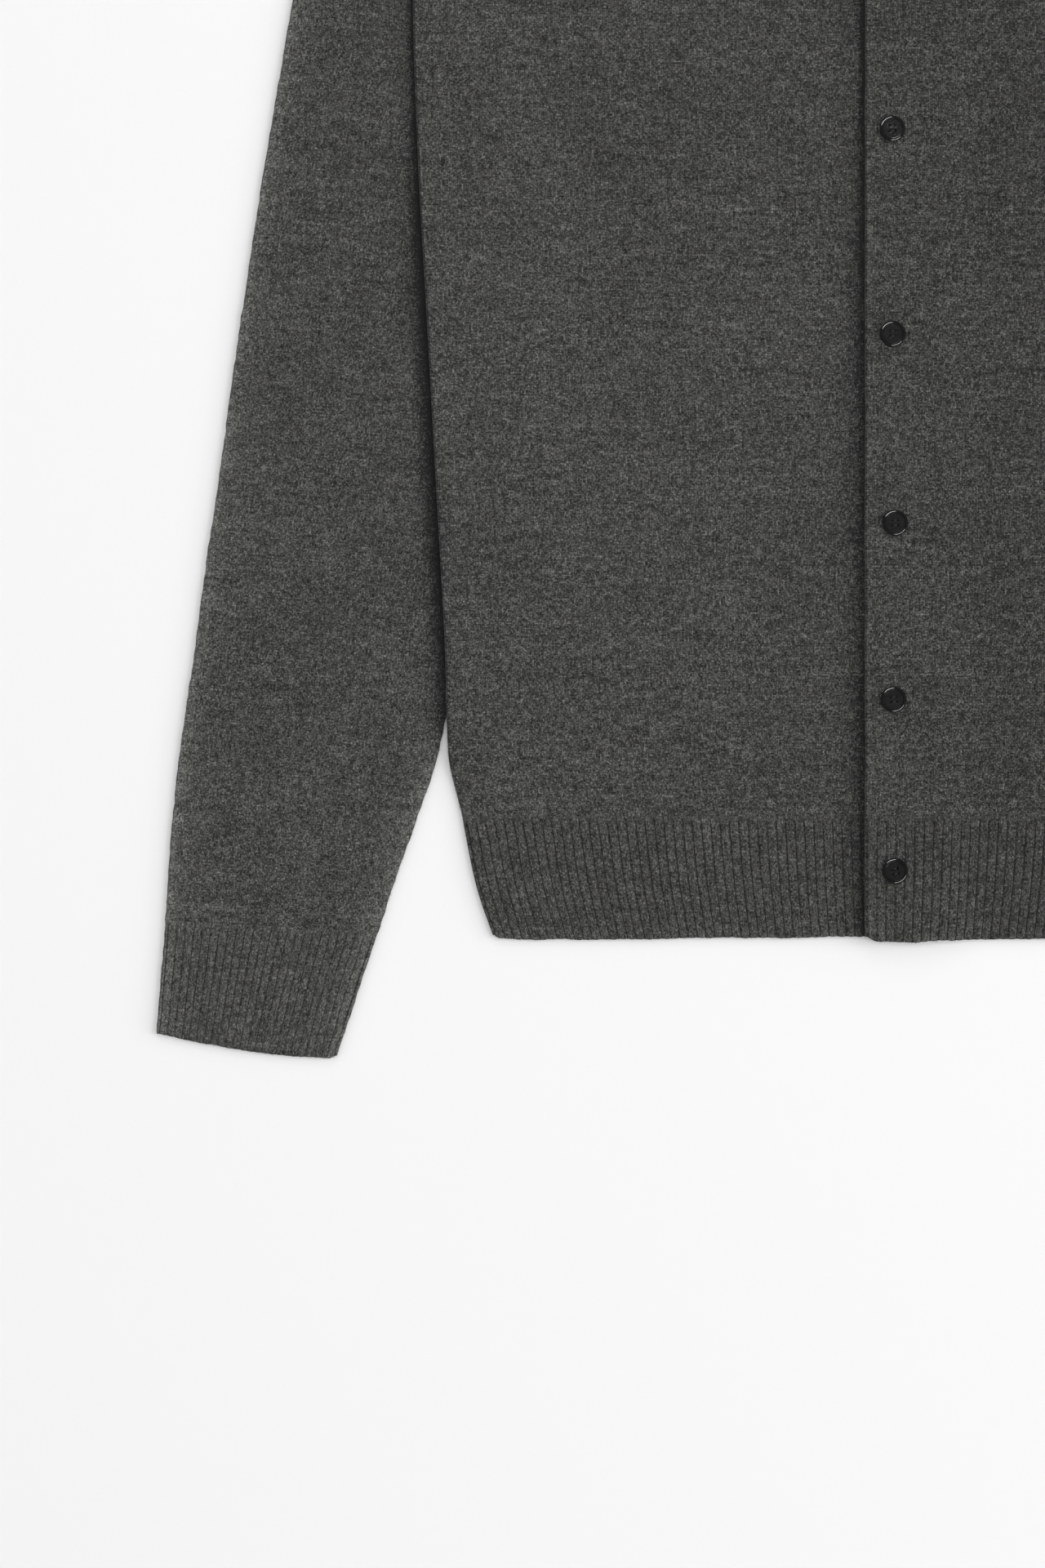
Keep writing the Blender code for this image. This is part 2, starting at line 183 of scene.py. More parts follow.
view = {
    "centre": (-0.1923, -0.2235),  # point of the floor in the middle of the picture, metres
    "height": 2.6,
    "tall": 0.817,  # of the floor that the picture takes in
    "sensor": 36,
}
light = {
    "around": (-0.19, -0.22, 0),  # what every box of light is aimed at
    "boxes": (  # direction, height in degrees, distance, width and height in metres, watts
        ("above", 0, 90, 5.0, (3.0, 3.0), 102),
        ("lowSide", 0, 13, 6.0, (5.0, 1.6), 74),
        ("side", 0, 37, 6.0, (4.0, 5.0), 226),
        ("head", 90, 40, 5.0, (3.0, 3.0), 22),
        ("farSide", 180, 37, 6.0, (4.0, 5.0), 79),
    ),
    "glints": (  # show only in what is glossy
        ("upperGlint", 98, 44, 1.08, (0.8, 0.28), 17),
        ("lowerGlint", -54, 38, 2.2, (1.9, 0.56), 58),
    ),
    "room": 0.175, "backdrop": 0.8,  # brightness of the world, to the garment and to the camera
    "floor": (0.86, 0.86, 0.86, 1), "floorRough": 0.9, "floorSize": 12,
}


def makeLight(name, direction, height, distance, size, power, isGlint=False):
    lamp = bpy.data.lights.new(name, "AREA")
    lamp.shape = "RECTANGLE"
    lamp.size, lamp.size_y = size
    lamp.energy = power
    obj = bpy.data.objects.new(name, lamp)
    turn, rise = math.radians(direction), math.radians(height)
    way = (math.cos(rise) * math.cos(turn), math.cos(rise) * math.sin(turn), math.sin(rise))
    obj.location = [c + distance * w for c, w in zip(light["around"], way)]
    away = obj.location - type(obj.location)(light["around"])
    obj.rotation_euler = away.to_track_quat("Z", "Y").to_euler()
    obj.visible_camera = False
    obj.visible_glossy = isGlint
    obj.visible_diffuse = not isGlint
    bpy.context.collection.objects.link(obj)


def makeWorld():  # dim to the garment, pale to the camera
    world = bpy.data.worlds.new("studio")
    world.use_nodes = True
    tree = world.node_tree
    room, backdrop = tree.nodes["Background"], addNode(tree, "Background")
    for node, strength in ((room, light["room"]), (backdrop, light["backdrop"])):
        node.inputs["Color"].default_value = (1, 1, 1, 1)
        node.inputs["Strength"].default_value = strength
    isCamera = addNode(tree, "LightPath").outputs["Is Camera Ray"]
    mix = addNode(tree, "MixShader", isCamera, room.outputs[0], backdrop.outputs[0])
    plug(tree, mix.outputs[0], tree.nodes["World Output"].inputs["Surface"])
    bpy.context.scene.world = world


def makeStage():
    camera = bpy.data.objects.new("camera", bpy.data.cameras.new("camera"))
    camera.data.sensor_fit = "VERTICAL"
    camera.data.sensor_height = view["sensor"]
    camera.data.lens = view["sensor"] * view["height"] / view["tall"]
    camera.location = (*view["centre"], view["height"])
    bpy.context.collection.objects.link(camera)
    bpy.context.scene.camera = camera
    for box in light["boxes"]:
        makeLight(*box)
    for glint in light["glints"]:
        makeLight(*glint, isGlint=True)
    makeWorld()
    bpy.context.scene.view_settings.view_transform = "Standard"
    bpy.ops.mesh.primitive_plane_add(size=light["floorSize"])
    floor = bpy.context.object
    floor.name = "floor"
    pale = newMaterial("paleFloor", **{"Base Color": light["floor"], "Roughness": light["floorRough"]})[0]
    floor.data.materials.append(pale)


makeStage()
print("stage ready")


# knitted stitches: V-shaped loops in columns, each leg a little lighter or darker than the next

stitch = {
    "wale": 0.00177, "ribWale": 0.00159, "course": 0.0014,  # metres from column to column and from row to row
    "legRise": 1.3,  # rows that a leg climbs from the middle of its column to the side
    "endHeight": 0.45,  # of a leg's ends, as a share of its middle
    "yarnStep": 0.37,  # from one row's streaks to the next
    "wander": 0.0012, "wanderScale": 140,  # how far the rows and columns waver, and the noise scale of it
}


def makeStitchGroup():
    group, given, out = newGroup(
        "knitStitches",
        [("Cloth", "Vector", None), ("Wale", "Float", stitch["wale"]), ("Course", "Float", stitch["course"])],
        [("Height", "Float"), ("Tint", "Float"), ("Yarn", "Vector")],
    )
    plus, minus, times, over = shorthands(group, "ADD", "SUBTRACT", "MULTIPLY", "DIVIDE")
    x, y = addNode(group, "SeparateXYZ", given["Cloth"]).outputs[:2]
    across = over(x, given["Wale"])
    column = maths(group, "FLOOR", across)
    fromMiddle = minus(minus(across, column), 0.5)
    aside = maths(group, "ABSOLUTE", fromMiddle)
    along = minus(over(y, given["Course"]), times(aside, stitch["legRise"]))
    row = maths(group, "FLOOR", along)
    legOffset = minus(times(aside, 4), 1)
    acrossLeg = minus(1, times(legOffset, legOffset))
    alongLeg = times(maths(group, "SINE", times(minus(along, row), math.pi)), 1 - stitch["endHeight"])
    plug(group, times(acrossLeg, plus(stitch["endHeight"], alongLeg)), out["Height"])
    leg = plus(times(column, 2), maths(group, "GREATER_THAN", fromMiddle, 0.0))
    place = addNode(group, "CombineXYZ", leg, row).outputs[0]
    plug(group, addNode(group, "TexWhiteNoise", place, noise_dimensions="2D").outputs["Value"], out["Tint"])
    plug(group, addNode(group, "CombineXYZ", x, times(row, stitch["yarnStep"])).outputs[0], out["Yarn"])
    return group


# melange wool: pale and dark fibres in the yarn, flecks, cloudy patches and raised nap

wool = {
    "middle": (0.0408, 0.0408, 0.0382),  # colour half-way between the dark and the pale fibres
    "unevenness": {  # noise scale, detail, roughness, squeeze, doublings of brightness
        "Cloth": (
            (1020, 2, 0.60, (1.0, 1.1, 1), 10.4),
            (420, 1, 0.50, (0.8, 1.2, 1), 3.0),
            (150, 1, 0.50, (0.6, 1.45, 1), 1.35),
            (52, 1, 0.50, (0.5, 1.6, 1), 0.85),
            (15, 1, 0.50, (0.8, 1.2, 1), 0.6),
        ),
        "Yarn": (  # along a row of stitches
            (330, 1, 0.50, (1, 1 / 330, 1), 2.1),
            (75, 1, 0.50, (1, 1 / 75, 1), 1.1),
        ),
    },
    "gamma": 2.4, "darkest": 0.3,  # the unevenness looks as strong on the dark side as on the pale side
    "leg": 1.6, "stitch": 1.15, "hollow": 1.6,  # doublings of brightness by leg, by the painted shade low in each stitch's loops, and by painted shade in hollows
    "ribTone": 1.08, "ribContrast": 0.85, "ribSqueeze": (1.3, 0.8, 1),
    "furrow": 2.8, "furrowPower": 12,  # depth and narrowness of the shade between two ribs
    "napHeight": 0.00024, "napStrength": 0.75,
    "finish": {"Roughness": 0.95, "Specular IOR Level": 0.15, "Sheen Weight": 0.12, "Sheen Roughness": 0.6},
}


def makeWoolGroup():
    group, given, out = newGroup(
        "melangeWool",
        [
            ("Cloth", "Vector", None), ("Yarn", "Vector", None), ("Stitch", "Float", 0.5), ("Tint", "Float", 0.5),
            ("Contrast", "Float", 1.0), ("Middle", "Color", (*wool["middle"], 1)), ("Hollow", "Float", 0.0),
        ],
        [("Color", "Color"), ("Nap", "Float")],
    )
    plus, minus, times = shorthands(group, "ADD", "SUBTRACT", "MULTIPLY")
    doublings = times(minus(given["Tint"], 0.5), wool["leg"])
    # painted shade: each loop is darker where it lies low
    doublings = plus(doublings, times(minus(given["Stitch"], 0.5), wool["stitch"]))
    fibres = None
    for place, layers in wool["unevenness"].items():
        for scale, detail, rough, squeeze, weight in layers:
            layer = minus(noise(group, given[place], scale, detail, rough, squeeze), 0.5)
            fibres = fibres or layer
            doublings = plus(doublings, times(layer, weight))
    # painted shade from the Hollow input; below zero it paints highlight instead
    doublings = minus(times(doublings, given["Contrast"]), times(given["Hollow"], wool["hollow"]))
    even = plus(1.0, times(doublings, math.log(2) / wool["gamma"]))
    even = maths(group, "MAXIMUM", even, wool["darkest"])
    share = maths(group, "POWER", even, wool["gamma"])
    plug(group, vectorMaths(group, "SCALE", given["Middle"], None, None, share), out["Color"])
    plug(group, plus(times(given["Stitch"], 0.5), fibres), out["Nap"])
    return group


def makeKnitMaterial(name, wale, isRib=False):
    material, tree, shader = newMaterial(name, **wool["finish"])
    plus, times, over = shorthands(tree, "ADD", "MULTIPLY", "DIVIDE")
    cloth = addNode(tree, "UVMap", uv_map="cloth").outputs[0]
    uneven = noise(tree, cloth, stitch["wanderScale"], 1, output="Color")
    wavering = vectorMaths(tree, "MULTIPLY_ADD", uneven, (stitch["wander"],) * 3, cloth)
    loops = useGroup(tree, stitchGroup, Cloth=wavering, Wale=wale, Course=stitch["course"])
    fibrePlace, tone, contrast = cloth, 1.0, 1.0
    # painted shade and highlight read from the mesh, and in ribs painted shade down each furrow
    hollow = attribute(tree, "shade")
    if isRib:
        turn = times(over(addNode(tree, "SeparateXYZ", cloth).outputs[0], 3 * wale), 2 * math.pi)
        bottom = maths(tree, "POWER", times(plus(maths(tree, "COSINE", turn), 1), 0.5), wool["furrowPower"])
        hollow = plus(hollow, times(bottom, times(attribute(tree, "furrow"), wool["furrow"])))
        fibrePlace = vectorMaths(tree, "MULTIPLY", cloth, wool["ribSqueeze"])
        tone, contrast = wool["ribTone"], wool["ribContrast"]
    fibres = useGroup(
        tree, woolGroup, Cloth=fibrePlace, Yarn=loops["Yarn"], Stitch=loops["Height"], Tint=loops["Tint"],
        Middle=(*(c * tone for c in wool["middle"]), 1), Hollow=hollow, Contrast=contrast,
    )
    plug(tree, fibres["Color"], shader["Base Color"])
    addBump(tree, shader, fibres["Nap"], wool["napHeight"], wool["napStrength"])
    return material


stitchGroup = makeStitchGroup()
woolGroup = makeWoolGroup()
jerseyWool = makeKnitMaterial("charcoalJersey", stitch["wale"])
ribWool = makeKnitMaterial("charcoalRib", stitch["ribWale"], isRib=True)
print("wool ready")


# cloth: grids of rows and columns on the same curves as the pattern pieces, then given a wall

garment = {
    "middleY": 304.35,  # of the outline, above the hem
    "layerRise": 2.1, "foldRadius": 1.05,
    "wall": 1.25, "cadWall": 1.5, "ribWallMore": 0.3, "seat": 0.3,
    "jerseyMiddle": 0.75, "ribMiddle": 0.90, "seamFade": 8.0,  # height of the middle of the lowest wall
    "ribDepth": 0.6, "ribPitch": 4.77, "ribFade": 7.0, "ribBunch": 0.75,
    "edgeRound": 0.35, "edgeAngle": 60, "cornerHeight": 14.0, "foldEnd": math.radians(84), "creaseBow": 0.06,
}
pieces = {}


def inMetres(points):
    return (points - np.array([0, garment["middleY"], 0])) * mm


def newMesh(name, points, faces, material):
    mesh = bpy.data.meshes.new(name)
    mesh.from_pydata(points.reshape(-1, 3).tolist(), [], faces)
    mesh.materials.append(material)
    return mesh


def newPiece(name, mesh):
    obj = bpy.data.objects.new(name, mesh)
    bpy.context.collection.objects.link(obj)
    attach(obj, "root")
    return obj


def applyModifier(obj, kind, **settings):
    modifier = obj.modifiers.new(kind.title(), kind)
    for key, value in settings.items():
        setattr(modifier, key, value)
    bpy.ops.object.select_all(action="DESELECT")
    obj.select_set(True)
    bpy.context.view_layer.objects.active = obj
    bpy.ops.object.modifier_apply(modifier=modifier.name)


def makeCloth(node, points, flat, isRib, mirrored, closed=False, **marks):
    marks = {key: values + 0 * points[..., 0] for key, values in marks.items()}
    if mirrored:
        points, flat = points[:, ::-1], flat[:, ::-1]
        marks = {key: values[:, ::-1] for key, values in marks.items()}
    if closed:  # the last column is the first again, where the cloth's own pattern ends
        points = points[:, :-1]
        marks = {key: values[:, :-1] for key, values in marks.items()}
    rows, columns = points.shape[:2]
    grid = np.arange(rows * columns).reshape(rows, columns)
    right = np.roll(grid, -1, axis=1) if closed else grid[:, 1:]
    left = grid if closed else grid[:, :-1]
    faces = np.stack([left[:-1], right[:-1], right[1:], left[1:]], axis=-1).reshape(-1, 4).tolist()
    mesh = newMesh(node + "_knit", inMetres(points), faces, ribWool if isRib else jerseyWool)
    corners = np.stack([flat[:-1, :-1], flat[:-1, 1:], flat[1:, 1:], flat[1:, :-1]], axis=2) * mm
    mesh.uv_layers.new(name="cloth").data.foreach_set("uv", corners.reshape(-1))
    for key, values in marks.items():  # shade: painted shade where layers meet and painted highlight along folds and free edges; furrow: strength of the painted shade between ribs
        mesh.attributes.new(key, "FLOAT", "POINT").data.foreach_set("value", values.reshape(-1))
    mesh.shade_smooth()
    piece = newPiece(node + "_knit", mesh)
    applyModifier(piece, "SOLIDIFY", thickness=garment["wall"] * mm, offset=0)
    applyModifier(
        piece, "BEVEL", width=garment["edgeRound"] * mm, segments=2, limit_method="ANGLE",
        angle_limit=math.radians(garment["edgeAngle"]),
    )
    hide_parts(node)
    pieces[node] = piece


def ribRelief(across, share):  # two wales stand, the third lies back
    turn = 2 * math.pi * across / garment["ribPitch"]
    hollow = 0.7 * ((1 + np.cos(turn)) / 2) ** 9 + 0.3 * ((1 + np.cos(turn)) / 2) ** 2
    split = ((1 - np.cos(turn)) / 2) ** 8
    return garment["ribDepth"] * share * (0.4 - hollow - 0.16 * split)


def closerAtFurrows(t, ribs):  # columns of points crowd where the rib's relief bends most
    return t - garment["ribBunch"] * np.sin(2 * math.pi * ribs * t) / (2 * math.pi * ribs)


def middleHeight(pastSeam):  # the rib's wall gets thicker from its seam on
    more = garment["ribMiddle"] - garment["jerseyMiddle"]
    return garment["jerseyMiddle"] + more * ease(pastSeam / garment["seamFade"])


def cadWall(isRib):
    return garment["cadWall"] + (garment["ribWallMore"] if isRib else 0)


# body

body = {
    "hemSeam": 64.0, "underarm": 528.0, "level": 572.5, "shoulder": (224.0, 617.0), "neck": (85.0, 655.0),
    "frontNeck": 530.0, "frontPower": 2.2, "backNeck": 636.0, "backPower": 2.5,
    "armholeHollow": 4.0, "lap": 14.6, "facing": 25.0, "stretchFrom": 503.0,
    "rideHeight": 4.2, "rideFall": 45.0,
    "ribs": 48,  # from the front edge to the side
    "cell": 2.7, "backCell": 4.0, "ribSteps": 8, "backRibSteps": 6, "ribRows": 26, "backRibRows": 16,
    "hemCorner": 3.6,
    # painted highlight along the hem's free edge and along the left front's edge
    "hemEdgeHighlight": 0.10, "lapEdgeHighlight": 0.42,
    "loop": 0.12, "hemWaver": 0.3, "uneven": 0.08, "edgeWaver": 0.28, "softened": 0.6,
    # painted shade beside an edge lying on top: its depth and reach at each height
    "crevice": table(
        "y depth reach", (0, 1.1, 4.5), (190, 1.2, 4.5), (280, 1.3, 4.2), (360, 1.7, 3.4), (447, 1.8, 1.9),
        (528, 1.8, 1.9), (655, 1.8, 2.0),
    ),
    "side": table(
        "y halfWidth", (0, 207.8), (30, 217.0), (64, 223.8), (98, 231.2), (149, 232.8), (234, 237.4),
        (319, 242.1), (404, 246.8), (489, 249.5), (528, 249.6),
    ),
    "hem": table(
        "x y", (-208, 1.2), (-190, 0), (-130, 0), (-98, 0.8), (-48, 0.8), (-22, 1.7), (-14, 1.7), (-8, -0.9),
        (5, -1.3), (30, -0.4), (90, 0.4), (208, 1.2),
    ),
    "ride": table(
        "y width share", (80, 6, 0), (118, 8, 1), (165, 22, 1), (213, 34, 1), (277, 46, 1), (340, 52, 1),
        (404, 49, 1), (435, 42, 1), (465, 30, 1), (491, 12, 1), (528, 8, 0),
    ),
    "fronts": {
        "right": {
            "side": -1, "layer": 2, "riseFrom": 29.0, "riseTo": 14.0, "softRibs": 46.0,
            "creases": table(
                "x y length turn width height",
                (-38, 470, 26, 118, 5, 0.35), (-95, 166, 34, 6, 4, -0.3), (-170, 230, 30, 8, 5, -0.25),
                (-200, 470, 40, 62, 8, 0.3), (-120, 350, 50, 40, 10, 0.25), (-60, 300, 45, 100, 9, 0.2),
            ),
            # across: painted shade near the placket and painted bounce light near the side; along: painted shade
            # towards the top
            "toneAndShadeAcross": table("x shade", (0, 0.03), (20, 0.03), (60, 0.01), (190, 0), (212, -0.04), (250, -0.04)),
            "toneAndShadeAlong": table("y shade", (0, 0.0), (60, 0.0), (330, 0.02), (450, 0.10), (620, 0.10)),
        },
        "left": {
            "side": 1, "layer": 4, "riseFrom": 50.0, "riseTo": 14.0, "softRibs": 24.0,
            "creases": table(
                "x y length turn width height",
                (62, 190, 30, 5, 5, -0.3), (60, 430, 30, 70, 8, 0.3), (120, 330, 50, 130, 10, 0.3),
                (200, 450, 40, 118, 8, 0.35), (90, 250, 45, 85, 9, 0.25),
            ),
            # across: painted shade in the dip past the facing's end, over a darker tone for the whole left front;
            # along: that darker tone, with painted shade towards the top
            "toneAndShadeAcross": table(
                "x shade", (0, 0.0), (8, 0.0), (12, 0.06), (18, 0.09), (21, 0.15), (25, 0.12), (32, 0.10), (250, 0.08),
            ),
            "toneAndShadeAlong": table("y shade", (0, 0.06), (60, 0.07), (100, 0.10), (270, 0.11), (450, 0.21), (620, 0.21)),
        },
    },
}
shoulderX, shoulderY = body["shoulder"]
neckX, neckY = body["neck"]


def armholeX(y):
    t = (shoulderY - y) / (shoulderY - body["underarm"])
    straight = shoulderX + (body["side"]["halfWidth"][-1] - shoulderX) * t
    return straight - body["armholeHollow"] * np.sin(math.pi * np.clip(t, 0, 1))


def halfWidth(y):
    return np.where(y <= body["underarm"], read(body["side"], "y", "halfWidth", y), armholeX(y))


def topY(x, face):
    x = np.abs(x)
    low = body[face + "Neck"]
    neckline = low + (neckY - low) * np.minimum(x / neckX, 1) ** body[face + "Power"]
    return np.where(x <= neckX, neckline, neckY + (shoulderY - neckY) * (x - neckX) / (shoulderX - neckX))


def rideShare(y):
    return read(body["ride"], "y", "share", y)


def rideHeight(x, y):
    past = halfWidth(y) - np.abs(x) - read(body["ride"], "y", "width", y)
    return body["rideHeight"] * rideShare(y) * (1 - ease(past / body["rideFall"]))


def creviceShadeDepth(y):
    return read(body["crevice"], "y", "depth", y)


def creviceShade(past, y):  # painted shade beside an edge that lies on top
    return creviceShadeDepth(y) * np.exp(-(np.maximum(past, 0) / read(body["crevice"], "y", "reach", y)) ** 1.2)


def frontLayer(x, front):
    reach = (front["riseFrom"] - x * front["side"]) / (front["riseFrom"] - front["riseTo"])
    return 1 + (front["layer"] - 1) * ease(reach)


def foldInset(angle, share):  # how far in and how far down the cloth is, round a fold or at a level edge
    r = garment["foldRadius"]
    folded = garment["cadWall"] / 2 + r * (1 - np.sin(angle))
    level = r * (1 - angle / (math.pi / 2))
    return folded * share + level * (1 - share), r * (1 - np.cos(angle)) * share


def sideInset(angle, y):
    return foldInset(angle, ease((body["level"] - y) / (body["level"] - body["underarm"])))


def topInset(angle, x):
    return foldInset(angle, ease((np.abs(x) - neckX + 2) / 5))


def rowHeight(y, angle, x, face):  # rows at the top fan out to the neckline and the shoulder
    above = body["stretchFrom"]
    limit = topY(x, face) - topInset(0 * x, x)[0]
    spread = np.where(y <= above, y, above + (y - above) * (limit - above) / (shoulderY - above))
    return np.where(angle > 0, topY(x, face) - topInset(angle, x)[0], spread)


def panelRows(isRib, cell, ribRows):  # each row's height, and how far round the fold at the top it is
    if isRib:
        y = np.linspace(0, body["hemSeam"], ribRows + 1)
        return y[:, None], 0 * y[:, None]
    y = np.linspace(body["hemSeam"], shoulderY, round((shoulderY - body["hemSeam"]) / cell))
    turn = np.linspace(0, garment["foldEnd"], 5)[1:]
    return np.concatenate([y, 0 * turn + shoulderY])[:, None], np.concatenate([0 * y, turn])[:, None]


def roundedCorner(r, fromEdge):
    return r - np.sqrt(np.maximum(r * r - np.maximum(r - fromEdge, 0) ** 2, 0))


def withHem(x, y, across, isRib):  # the edge wanders, its corners are rounded and each rib ends in its own loop
    if not isRib:
        return y
    toEdge = np.clip(1 - y / body["hemSeam"], 0, 1)
    corner = roundedCorner(body["hemCorner"], np.maximum(halfWidth(y) - np.abs(x), 0))
    loops = body["loop"] * np.cos(2 * math.pi * across / garment["ribPitch"])
    loops = loops + body["hemWaver"] * waves(x, 0 * x, seed=5, longest=60, shortest=9)
    low = np.clip(1 - y / garment["cornerHeight"], 0, 1)
    return y + read(body["hem"], "x", "y", x) * toEdge + corner * low + loops * toEdge ** 6


def flatPlace(u, y, isRib):
    return np.stack([u, body["hemSeam"] - y if isRib else y], -1)


def creases(x, y, rows):
    total = 0 * x
    for cx, cy, length, turn, width, height in zip(*rows.values()):
        c, s = math.cos(math.radians(turn)), math.sin(math.radians(turn))
        along = (x - cx) * c + (y - cy) * s
        across = -(x - cx) * s + (y - cy) * c - garment["creaseBow"] * along ** 2 / length
        total = total + height * np.exp(-(across / width) ** 2 - (along / length) ** 4)
    return total


def makeFront(hand, isRib):
    front = body["fronts"][hand]
    side, layer, r = front["side"], front["layer"], garment["foldRadius"]
    turnX = body["lap"] - garment["cadWall"] / 2 - r
    facing = body["facing"] - body["lap"] + turnX
    y0, topAngle = panelRows(isRib, body["cell"], body["ribRows"])
    across = body["ribs"] * garment["ribPitch"]
    steps = body["ribs"] * body["ribSteps"] if isRib else round(across / body["cell"])
    panel = np.linspace(0, 1, steps + 1)[1:]
    zones = {
        "side": np.linspace(garment["foldEnd"], 0, 6),
        "panel": closerAtFurrows(panel, body["ribs"]) if isRib else panel,
        "turn": np.linspace(0, math.pi, 9)[1:],
        "facing": np.linspace(0, 1, 24 if isRib else 9)[1:],
    }
    made = []
    for zone, t in zones.items():
        x = np.full((len(y0), len(t)), side * 200.0)
        y = y0 + 0 * x
        for _ in range(4):  # x and y settle on each other
            start = halfWidth(y) - sideInset(t if zone == "side" else 0 * y, y)[0]
            x = {
                "side": side * start,
                "panel": side * (start - t * (start + turnX)),
                "turn": -side * (turnX + r * np.sin(t)) + 0 * y,
                "facing": side * (-turnX + t * facing) + 0 * y,
            }[zone]
            y = rowHeight(y0, topAngle, 0 * x - side * turnX if zone == "turn" else x, "front")
        lift = -topInset(topAngle, x)[1] * (topAngle > 0)
        level, u, tilt, shade = frontLayer(x, front), (1 - t) * across + 0 * x, 0 * t, 0 * x
        if zone == "side":
            lift = np.minimum(lift, -sideInset(t, y)[1])
            u, tilt = across + r * t + 0 * x, side * t
            # painted shade on the side fold, where the body lies over the sleeve
            shade = creviceShadeDepth(y) * (t / t.max()) ** 1.5 * rideShare(y)
        elif zone == "turn":
            level = layer - r * (1 - np.cos(t)) / garment["layerRise"] + 0 * x
            u, tilt = -r * t + 0 * x, -side * t
            # painted shade on the left front's edge as it turns under
            shade = creviceShadeDepth(y) * np.clip(t / 2, 0, 1) ** 1.5 * (side > 0)
        elif zone == "facing":
            level, u, tilt = layer - 1 + 0 * x, -math.pi * r - t * facing + 0 * x, math.pi + 0 * t
        elif side < 0:
            # painted shade on the right front beside the left front's edge
            shade = creviceShade(-body["lap"] - x, y)
        else:
            # painted highlight along the left front's edge
            shade = -body["lapEdgeHighlight"] * np.exp(-((x + body["lap"]) / 3) ** 2)
        if zone in ("side", "panel"):
            # painted shade and light across and along the panel, with the left front's darker tone
            shade = shade + read(front["toneAndShadeAcross"], "x", "shade", np.abs(x)) + read(front["toneAndShadeAlong"], "y", "shade", y)
        z = middleHeight(body["hemSeam"] - y) + level * garment["layerRise"] + lift + rideHeight(x, y)
        relief = furrow = 0 * x
        if isRib:
            # painted highlight along the hem's free edge
            shade = shade - body["hemEdgeHighlight"] * np.exp(-y / 4)
            furrow = ease((body["hemSeam"] - y) / garment["ribFade"])
            furrow = furrow * (1 - body["softened"] * np.exp(-(u / front["softRibs"]) ** 4))
            relief = ribRelief(u, furrow)
        elif zone == "panel":
            relief = creases(x, y, front["creases"]) * ease(t * 12) * ease((1 - t) * 12) * (topAngle == 0)
            relief = relief + body["uneven"] * waves(x, y, seed=11 + layer, longest=70, shortest=18)
        waver = body["edgeWaver"] * waves(0 * y, y, seed=3 + layer, longest=120, shortest=25)
        waver = waver * np.exp(-np.abs(np.abs(u) - 3) / 12) * (np.abs(u) < 40)
        normal = np.stack([np.sin(tilt), 0 * tilt, np.cos(tilt)], -1)
        point = np.stack([x + waver, withHem(x, y, u, isRib), z], -1) + normal * relief[..., None]
        made.append((point, flatPlace(u, y, isRib), shade, furrow))
    points, flat, shade, furrow = (np.concatenate(parts, axis=1) for parts in zip(*made))
    node = f"front_{hand}" + "_hem_rib" * isRib
    makeCloth(node, points, flat, isRib, side > 0, shade=shade, furrow=furrow)


def makeBack(isRib):
    y0, topAngle = panelRows(isRib, body["backCell"], body["backRibRows"])
    across = body["ribs"] * garment["ribPitch"] - body["lap"]
    steps = round(across / garment["ribPitch"] * body["backRibSteps"]) if isRib else round(across / body["backCell"])
    turn = np.linspace(garment["foldEnd"], 0, 5)
    share = np.concatenate([0 * turn - 1, np.linspace(0, 2, 2 * steps + 1)[1:-1] - 1, 0 * turn + 1])
    angle = np.concatenate([turn, np.zeros(2 * steps - 1), turn[::-1]])
    x = 200 * share + 0 * y0
    y = y0 + 0 * x
    for _ in range(4):
        level = halfWidth(y) - sideInset(0 * y, y)[0]
        outline = halfWidth(y) - sideInset(angle + 0 * y, y)[0]
        x = np.where(angle > 0, np.sign(share) * outline, share * level)
        y = rowHeight(y0, topAngle, x, "back")
    lift = np.maximum(topInset(topAngle, x)[1] * (topAngle > 0), sideInset(angle, y)[1])
    u = share * across + np.sign(share) * garment["foldRadius"] * angle + 0 * x
    furrow = ease((body["hemSeam"] - y) / garment["ribFade"]) * isRib
    z = middleHeight(body["hemSeam"] - y) + lift + rideHeight(x, y) - ribRelief(u, furrow) * np.cos(angle)
    points = np.stack([x, withHem(x, y, u, isRib), z], -1)
    makeCloth("back" + "_hem_rib" * isRib, points, flatPlace(u, y, isRib), isRib, True, furrow=furrow)


for hand in body["fronts"]:
    for isRib in (False, True):
        makeFront(hand, isRib)
for isRib in (False, True):
    makeBack(isRib)
print("body ready")


# sleeves and cuffs: flattened tubes, in sections from the armhole to the cuff's end

